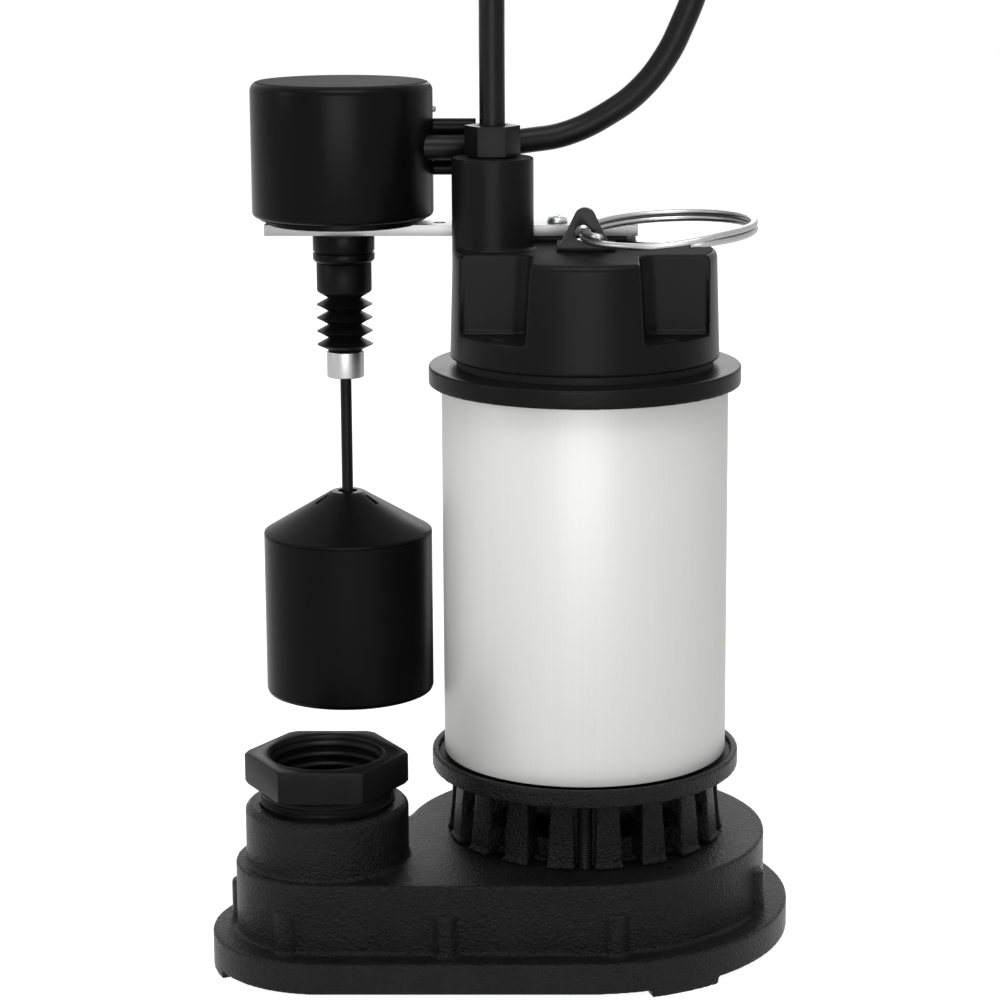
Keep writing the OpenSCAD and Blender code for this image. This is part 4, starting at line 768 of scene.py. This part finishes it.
# Lift ear and split ring: the ear is bent from sheet and painted black, with a small screw in its foot. Its
# cut edge carries a painted highlight in light grey, where the sheet's edge catches the top light. The ring
# is nearly two turns of springy chromed wire through the ear's hole.
EAR_PAINT = grained("black_painted_sheet", (0.003, 0.003, 0.0033), (0.005, 0.005, 0.0054), (0.26, 0.34),
                    1500, 0.00001, 0.12, 40)
# Painted highlight: a light grey for the ear's cut edge, standing in for the top light that the edge catches.
EDGE_HIGHLIGHT_GREY = grained("painted_edge_highlight", (0.03, 0.03, 0.032), (0.05, 0.05, 0.052), (0.3, 0.4), 1500, 0.00001, 0.5,
                   40)
CHROME = brushed("chromed_wire", (0.33, 0.33, 0.335), (0.42, 0.42, 0.425), (0.32, 0.4), (300, 300, 300),
                 0.000001)
EAR_HOLE = JOINTS["ring_swing"]["pos_m"]
EAR_HOLE_RIM = 4.5 * MM
EAR_FOOT_TOP = 309.5 * MM


def on_cut_edge(face):
    """whether a face lies on the edge of the ear's upright, away from its hole"""
    from_hole = math.hypot(face.center.x - EAR_HOLE[0], face.center.z - EAR_HOLE[2])
    return face.center.z > EAR_FOOT_TOP and abs(face.normal.y) < 0.8 and from_hole > EAR_HOLE_RIM


ear = crisp("lift_ear", "lift_ear_sheet", EAR_PAINT, edge=0.6, steps=3)
# The edge faces of the upright get the light grey of the painted highlight.
repainted(ear, EDGE_HIGHLIGHT_GREY, on_cut_edge)
repainted(ear, LID, lambda face: face.center.z < EAR_FOOT_TOP and face.normal.z > 0.6)
dress("lift_ear_screw", STEEL)
ring = copied("lift_ring", "lift_ring_wire")
shaded(ring, 50)
painted(ring, CHROME)
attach(ring, "ring")
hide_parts("lift_ring")

# Switch bracket: a flat bar folded from zinc plated sheet, on a rubber pad, held to the cap's deck by two
# pan head screws with a cross recess.
BRIGHT = brushed("bright_zinc_sheet", (0.22, 0.22, 0.22), (0.28, 0.28, 0.278), (0.36, 0.46), (8, 1400, 8),
                 0.000002)
crisp("switch_bracket", "switch_bracket_bar", BRIGHT, edge=0.45, steps=3)
PAD_LOW = (11.5, 21.7, 305.8)
PAD_HIGH = (54, 39.3, 308.2)
pad = block("bracket_pad_rubber", PAD_LOW, PAD_HIGH, RUBBER, edge=0.5)
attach(pad, "pump")
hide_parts("bracket_pad")
SCREW_R = 1.9
SCREW_FOOT = span("bracket_screws", "Z")[0] + 0.1
HEAD_R = 4.4
HEAD_Z = span("switch_bracket", "Z")[1] + 0.1
RECESS_L = 5
RECESS_W = 1.2
RECESS_FOOT = HEAD_Z + 1.4
RECESS_TOP = HEAD_Z + 4.8
BAR_Y = centre("switch_bracket")[1]
SCREWS_LEFT, SCREWS_RIGHT = span("bracket_screws", "X")
screw_rings = [(0.4, SCREW_FOOT), (SCREW_R, SCREW_FOOT), (SCREW_R, HEAD_Z), (HEAD_R, HEAD_Z)]
screw_rings += [(HEAD_R + 0.1, HEAD_Z + 0.9), (HEAD_R - 0.2, HEAD_Z + 1.8), (HEAD_R - 0.9, HEAD_Z + 2.6)]
screw_rings += [(HEAD_R / 2, HEAD_Z + 3.2), (0.8, HEAD_Z + 3.4), (0.2, HEAD_Z + 3.4)]
screw = turned("bracket_screw", screw_rings, (0, 0), STEEL, sides=40, edge=0.15)
for a in (25, 115):
    recess = block("cross_recess", (-RECESS_L / 2, -RECESS_W / 2, RECESS_FOOT),
                   (RECESS_L / 2, RECESS_W / 2, RECESS_TOP), STEEL)
    recess.data.transform(rotated("Z", a))
    put_on(screw, "BOOLEAN", operation="DIFFERENCE", object=recess, solver="EXACT")
    bpy.data.objects.remove(recess, do_unlink=True)
second = screw.copy()
second.data = screw.data.copy()
bpy.context.collection.objects.link(second)
for piece, x in ((screw, SCREWS_LEFT + HEAD_R), (second, SCREWS_RIGHT - HEAD_R)):
    piece.data.transform(moved(x, BAR_Y, 0))
bracket_screws = joined(screw, second)
bracket_screws.name = bracket_screws.data.name = "bracket_screw_pair"
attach(bracket_screws, "pump")
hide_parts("bracket_screws")

# Float switch: a glossy black can with a finely textured lid, a ribbed cord outlet on its right side and a
# threaded spigot that a round nut holds under the bar.
GLOSS = grained("glossy_black_plastic", (0.0022, 0.0022, 0.0025), (0.0032, 0.0032, 0.0035), (0.27, 0.32),
                1500, 0.000004, 0.052, 16)
SWITCH = centre("bellows_boot")
CAN_R = (span("switch_housing", "Y")[1] - span("switch_housing", "Y")[0]) / 2
CAN_FOOT = span("switch_housing", "Z")[0] + 1
CAN_TOP = span("switch_housing", "Z")[1]
CAN_ROUND = 4
can_rings = [(30, CAN_FOOT), (CAN_R - 2, CAN_FOOT), (CAN_R - 1, CAN_FOOT + 0.25)]
can_rings += [(CAN_R - 0.3, CAN_FOOT + 0.95), (CAN_R, CAN_FOOT + 2), (CAN_R, CAN_TOP - CAN_ROUND)]
for a in range(15, 91, 15):
    went_in = CAN_ROUND * (1 - math.cos(math.radians(a)))
    short_of = CAN_ROUND * (1 - math.sin(math.radians(a)))
    can_rings.append((CAN_R - went_in, CAN_TOP - short_of))
can_rings += [(34.9, CAN_TOP), (18, CAN_TOP), (0.3, CAN_TOP)]
can = turned("switch_can", can_rings, SWITCH, GLOSS, sides=160, smooth=50)
repainted(can, LID, lambda face: face.normal.z > 0.85)
# The small nub on the can's right side is painted a pale grey, far lighter than the glossy black can round
# it.
NUB_GREY = grained("pale_grey_nub", (0.3, 0.3, 0.3), (0.36, 0.36, 0.36), (0.4, 0.5), 1500, 0.000004, 0.2, 16)
nub = turned("can_nub", [(1.3, -1), (1.3, 1.2), (0.9, 1.6), (0.1, 1.7)], (0, 0), NUB_GREY, sides=24)
nub.data.transform(moved(-31, SWITCH[1], 362.8) @ rotated("Y", 90))
can = joined(can, nub)
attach(can, "pump")
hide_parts("switch_housing")
softened("switch_outlet", "switch_outlet_ribs", GLOSS, voxel=0.4, passes=3)
dress("switch_base", GLOSS)
PHENOLIC = grained("micro_switch_case", (0.012, 0.012, 0.016), (0.02, 0.02, 0.026), (0.35, 0.45), 1200,
                   0.00001, 0.4)
dress("micro_switch", PHENOLIC)
NUT_R = 13.6
NUT_BORE_R = 6.1
NUT_TOP = span("switch_locknut", "Z")[1] - 0.1
NUT_FOOT = span("switch_locknut", "Z")[0] + 0.1
NUT_GROOVE = NUT_TOP - 7.4
nut_rings = [(NUT_BORE_R, NUT_TOP), (NUT_R - 0.1, NUT_TOP), (NUT_R, NUT_TOP - 0.3), (NUT_R, NUT_GROOVE + 0.3)]
nut_rings += [(NUT_R - 0.7, NUT_GROOVE), (NUT_R - 0.7, NUT_GROOVE - 0.5), (NUT_R, NUT_GROOVE - 0.8)]
nut_rings += [(NUT_R, NUT_FOOT + 1.3), (NUT_R - 1.2, NUT_FOOT), (NUT_BORE_R, NUT_FOOT), (NUT_BORE_R, NUT_TOP)]
locknut = turned("locknut_ring", nut_rings, SWITCH, GLOSS, sides=96, edge=0.2)
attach(locknut, "pump")
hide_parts("switch_locknut")

# Boot, ferrule and rod: a black rubber bellows seals the rod into the switch, a bright metal ferrule
# closes its lower end, and the float slides on the dark rod below.
BOOT_RUBBER = grained("boot_rubber", (0.002, 0.002, 0.002), (0.0036, 0.0036, 0.0036), (0.36, 0.46), 1300,
                      0.00001, 0.07, 40)
BOOT_BORE_R = 3
BOOT_COLLAR_R = 12.1
BOOT_ROOT_R = 7.4
BOOT_FOLD_R = 12.3
BOOT_TOP = span("bellows_boot", "Z")[1]
BOOT_FOOT = span("bellows_boot", "Z")[0] + 0.1
COLLAR_FOOT = BOOT_TOP - 13.3
FOLD_TOP = COLLAR_FOOT - 2.5
FOLD_N = 4
FOLD_PITCH = 5.925
boot_rings = [(BOOT_BORE_R, BOOT_TOP), (BOOT_COLLAR_R - 0.4, BOOT_TOP), (BOOT_COLLAR_R, BOOT_TOP - 0.4)]
boot_rings += [(BOOT_COLLAR_R, COLLAR_FOOT + 1.1), (BOOT_COLLAR_R - 0.2, COLLAR_FOOT + 0.5)]
boot_rings += [(BOOT_COLLAR_R - 0.7, COLLAR_FOOT)]
for fold in range(FOLD_N):
    z = FOLD_TOP - FOLD_PITCH * fold
    boot_rings += [(BOOT_ROOT_R + 0.3, z + 0.35), (BOOT_ROOT_R, z), (BOOT_ROOT_R + 0.3, z - 0.35)]
    boot_rings += [(BOOT_FOLD_R - 0.6, z - 2.62), (BOOT_FOLD_R - 0.1, z - 2.83), (BOOT_FOLD_R, z - 2.96),
        (BOOT_FOLD_R - 0.1, z - 3.1), (BOOT_FOLD_R - 0.6, z - 3.3)]
boot_rings += [(BOOT_ROOT_R + 0.2, BOOT_FOOT + 0.5), (BOOT_ROOT_R, BOOT_FOOT), (BOOT_BORE_R, BOOT_FOOT)]
boot = turned("bellows_boot_rubber", boot_rings, SWITCH, BOOT_RUBBER, sides=96, smooth=60)
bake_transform(boot)
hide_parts("bellows_boot")
FERRULE = brushed("ferrule_metal", (0.36, 0.36, 0.36), (0.42, 0.42, 0.42), (0.34, 0.42), (5, 5, 1600),
                  0.000003)
FERRULE_R = 8.2
FERRULE_BORE_R = 2.6
FERRULE_TOP = span("boot_ferrule", "Z")[1] - 0.05
FERRULE_FOOT = span("boot_ferrule", "Z")[0] + 0.1
ferrule_rings = [(FERRULE_BORE_R, FERRULE_TOP), (FERRULE_R - 0.2, FERRULE_TOP)]
ferrule_rings += [(FERRULE_R, FERRULE_TOP - 0.3), (FERRULE_R, FERRULE_FOOT + 0.4)]
ferrule_rings += [(FERRULE_R - 0.3, FERRULE_FOOT), (FERRULE_BORE_R, FERRULE_FOOT)]
ferrule_rings += [(FERRULE_BORE_R, FERRULE_TOP)]
ferrule = turned("boot_ferrule_sleeve", ferrule_rings, SWITCH, FERRULE, sides=96, edge=0.12)
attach(ferrule, "rod")
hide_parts("boot_ferrule")
DARK_ROD = grained("dark_rod", (0.0035, 0.0035, 0.004), (0.006, 0.006, 0.0065), (0.28, 0.36), 1500, 0.000004,
                   0.09)
dress("float_rod", DARK_ROD)
dress("rod_stop", STEEL)

# Float: a hollow shell of glossy black plastic with a cone on top, four small slits near its tip and a
# base welded in. A fine groove runs round it below the cone. It slides on the rod.
FLOAT_R = 37.5
FLOAT_IN_R = 35.5
FLOAT_FOOT = span("float_shell", "Z")[0] + 0.1
FLOAT_TIP = span("float_shell", "Z")[1]
GROOVE_Z = FLOAT_TIP - 18.9
shell_rings = [(FLOAT_IN_R, FLOAT_FOOT), (FLOAT_R, FLOAT_FOOT), (FLOAT_R, GROOVE_Z - 0.2),
    (FLOAT_R - 0.25, GROOVE_Z), (FLOAT_R - 0.25, GROOVE_Z + 0.2), (FLOAT_R, GROOVE_Z + 0.4),
    (FLOAT_R - 0.1, GROOVE_Z + 0.8), (FLOAT_R - 0.6, GROOVE_Z + 1.2), (FLOAT_R - 1.3, GROOVE_Z + 1.6),
    (15.1, FLOAT_TIP - 4.71), (9.5, FLOAT_TIP - 1.37), (7.6, FLOAT_TIP - 0.24), (7, FLOAT_TIP),
    (4.4, FLOAT_TIP), (4.4, FLOAT_TIP - 5.9), (34.6, GROOVE_Z - 4), (FLOAT_IN_R, GROOVE_Z - 5),
    (FLOAT_IN_R, FLOAT_FOOT)]
shell = turned("float_shell_plastic", shell_rings, SWITCH, GLOSS, sides=144, smooth=38)
SLITS_DEG = (-155, -25, 25, 155)
SLIT_HALF_DEG = 3.9
SLIT_FROM_R = 9.6 * MM
SLIT_TO_R = 15 * MM
SLIT_DEEP = 1.8 * MM


def in_slit(face):
    """whether a face of the cone lies in one of the four slits"""
    x = face.center.x - SWITCH[0] * MM
    y = face.center.y - SWITCH[1] * MM
    bearing = math.degrees(math.atan2(y, x))
    near = min(abs(bearing - a) for a in SLITS_DEG) < SLIT_HALF_DEG
    return near and SLIT_FROM_R < math.hypot(x, y) < SLIT_TO_R and face.normal.z > 0.5


pick(shell, in_slit)
bpy.ops.mesh.extrude_region_shrink_fatten(TRANSFORM_OT_shrink_fatten={"value": -SLIT_DEEP})
put_down(shell)
shaded(shell, 38)
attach(shell, "float")
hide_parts("float_shell")
dress("float_base", GLOSS)
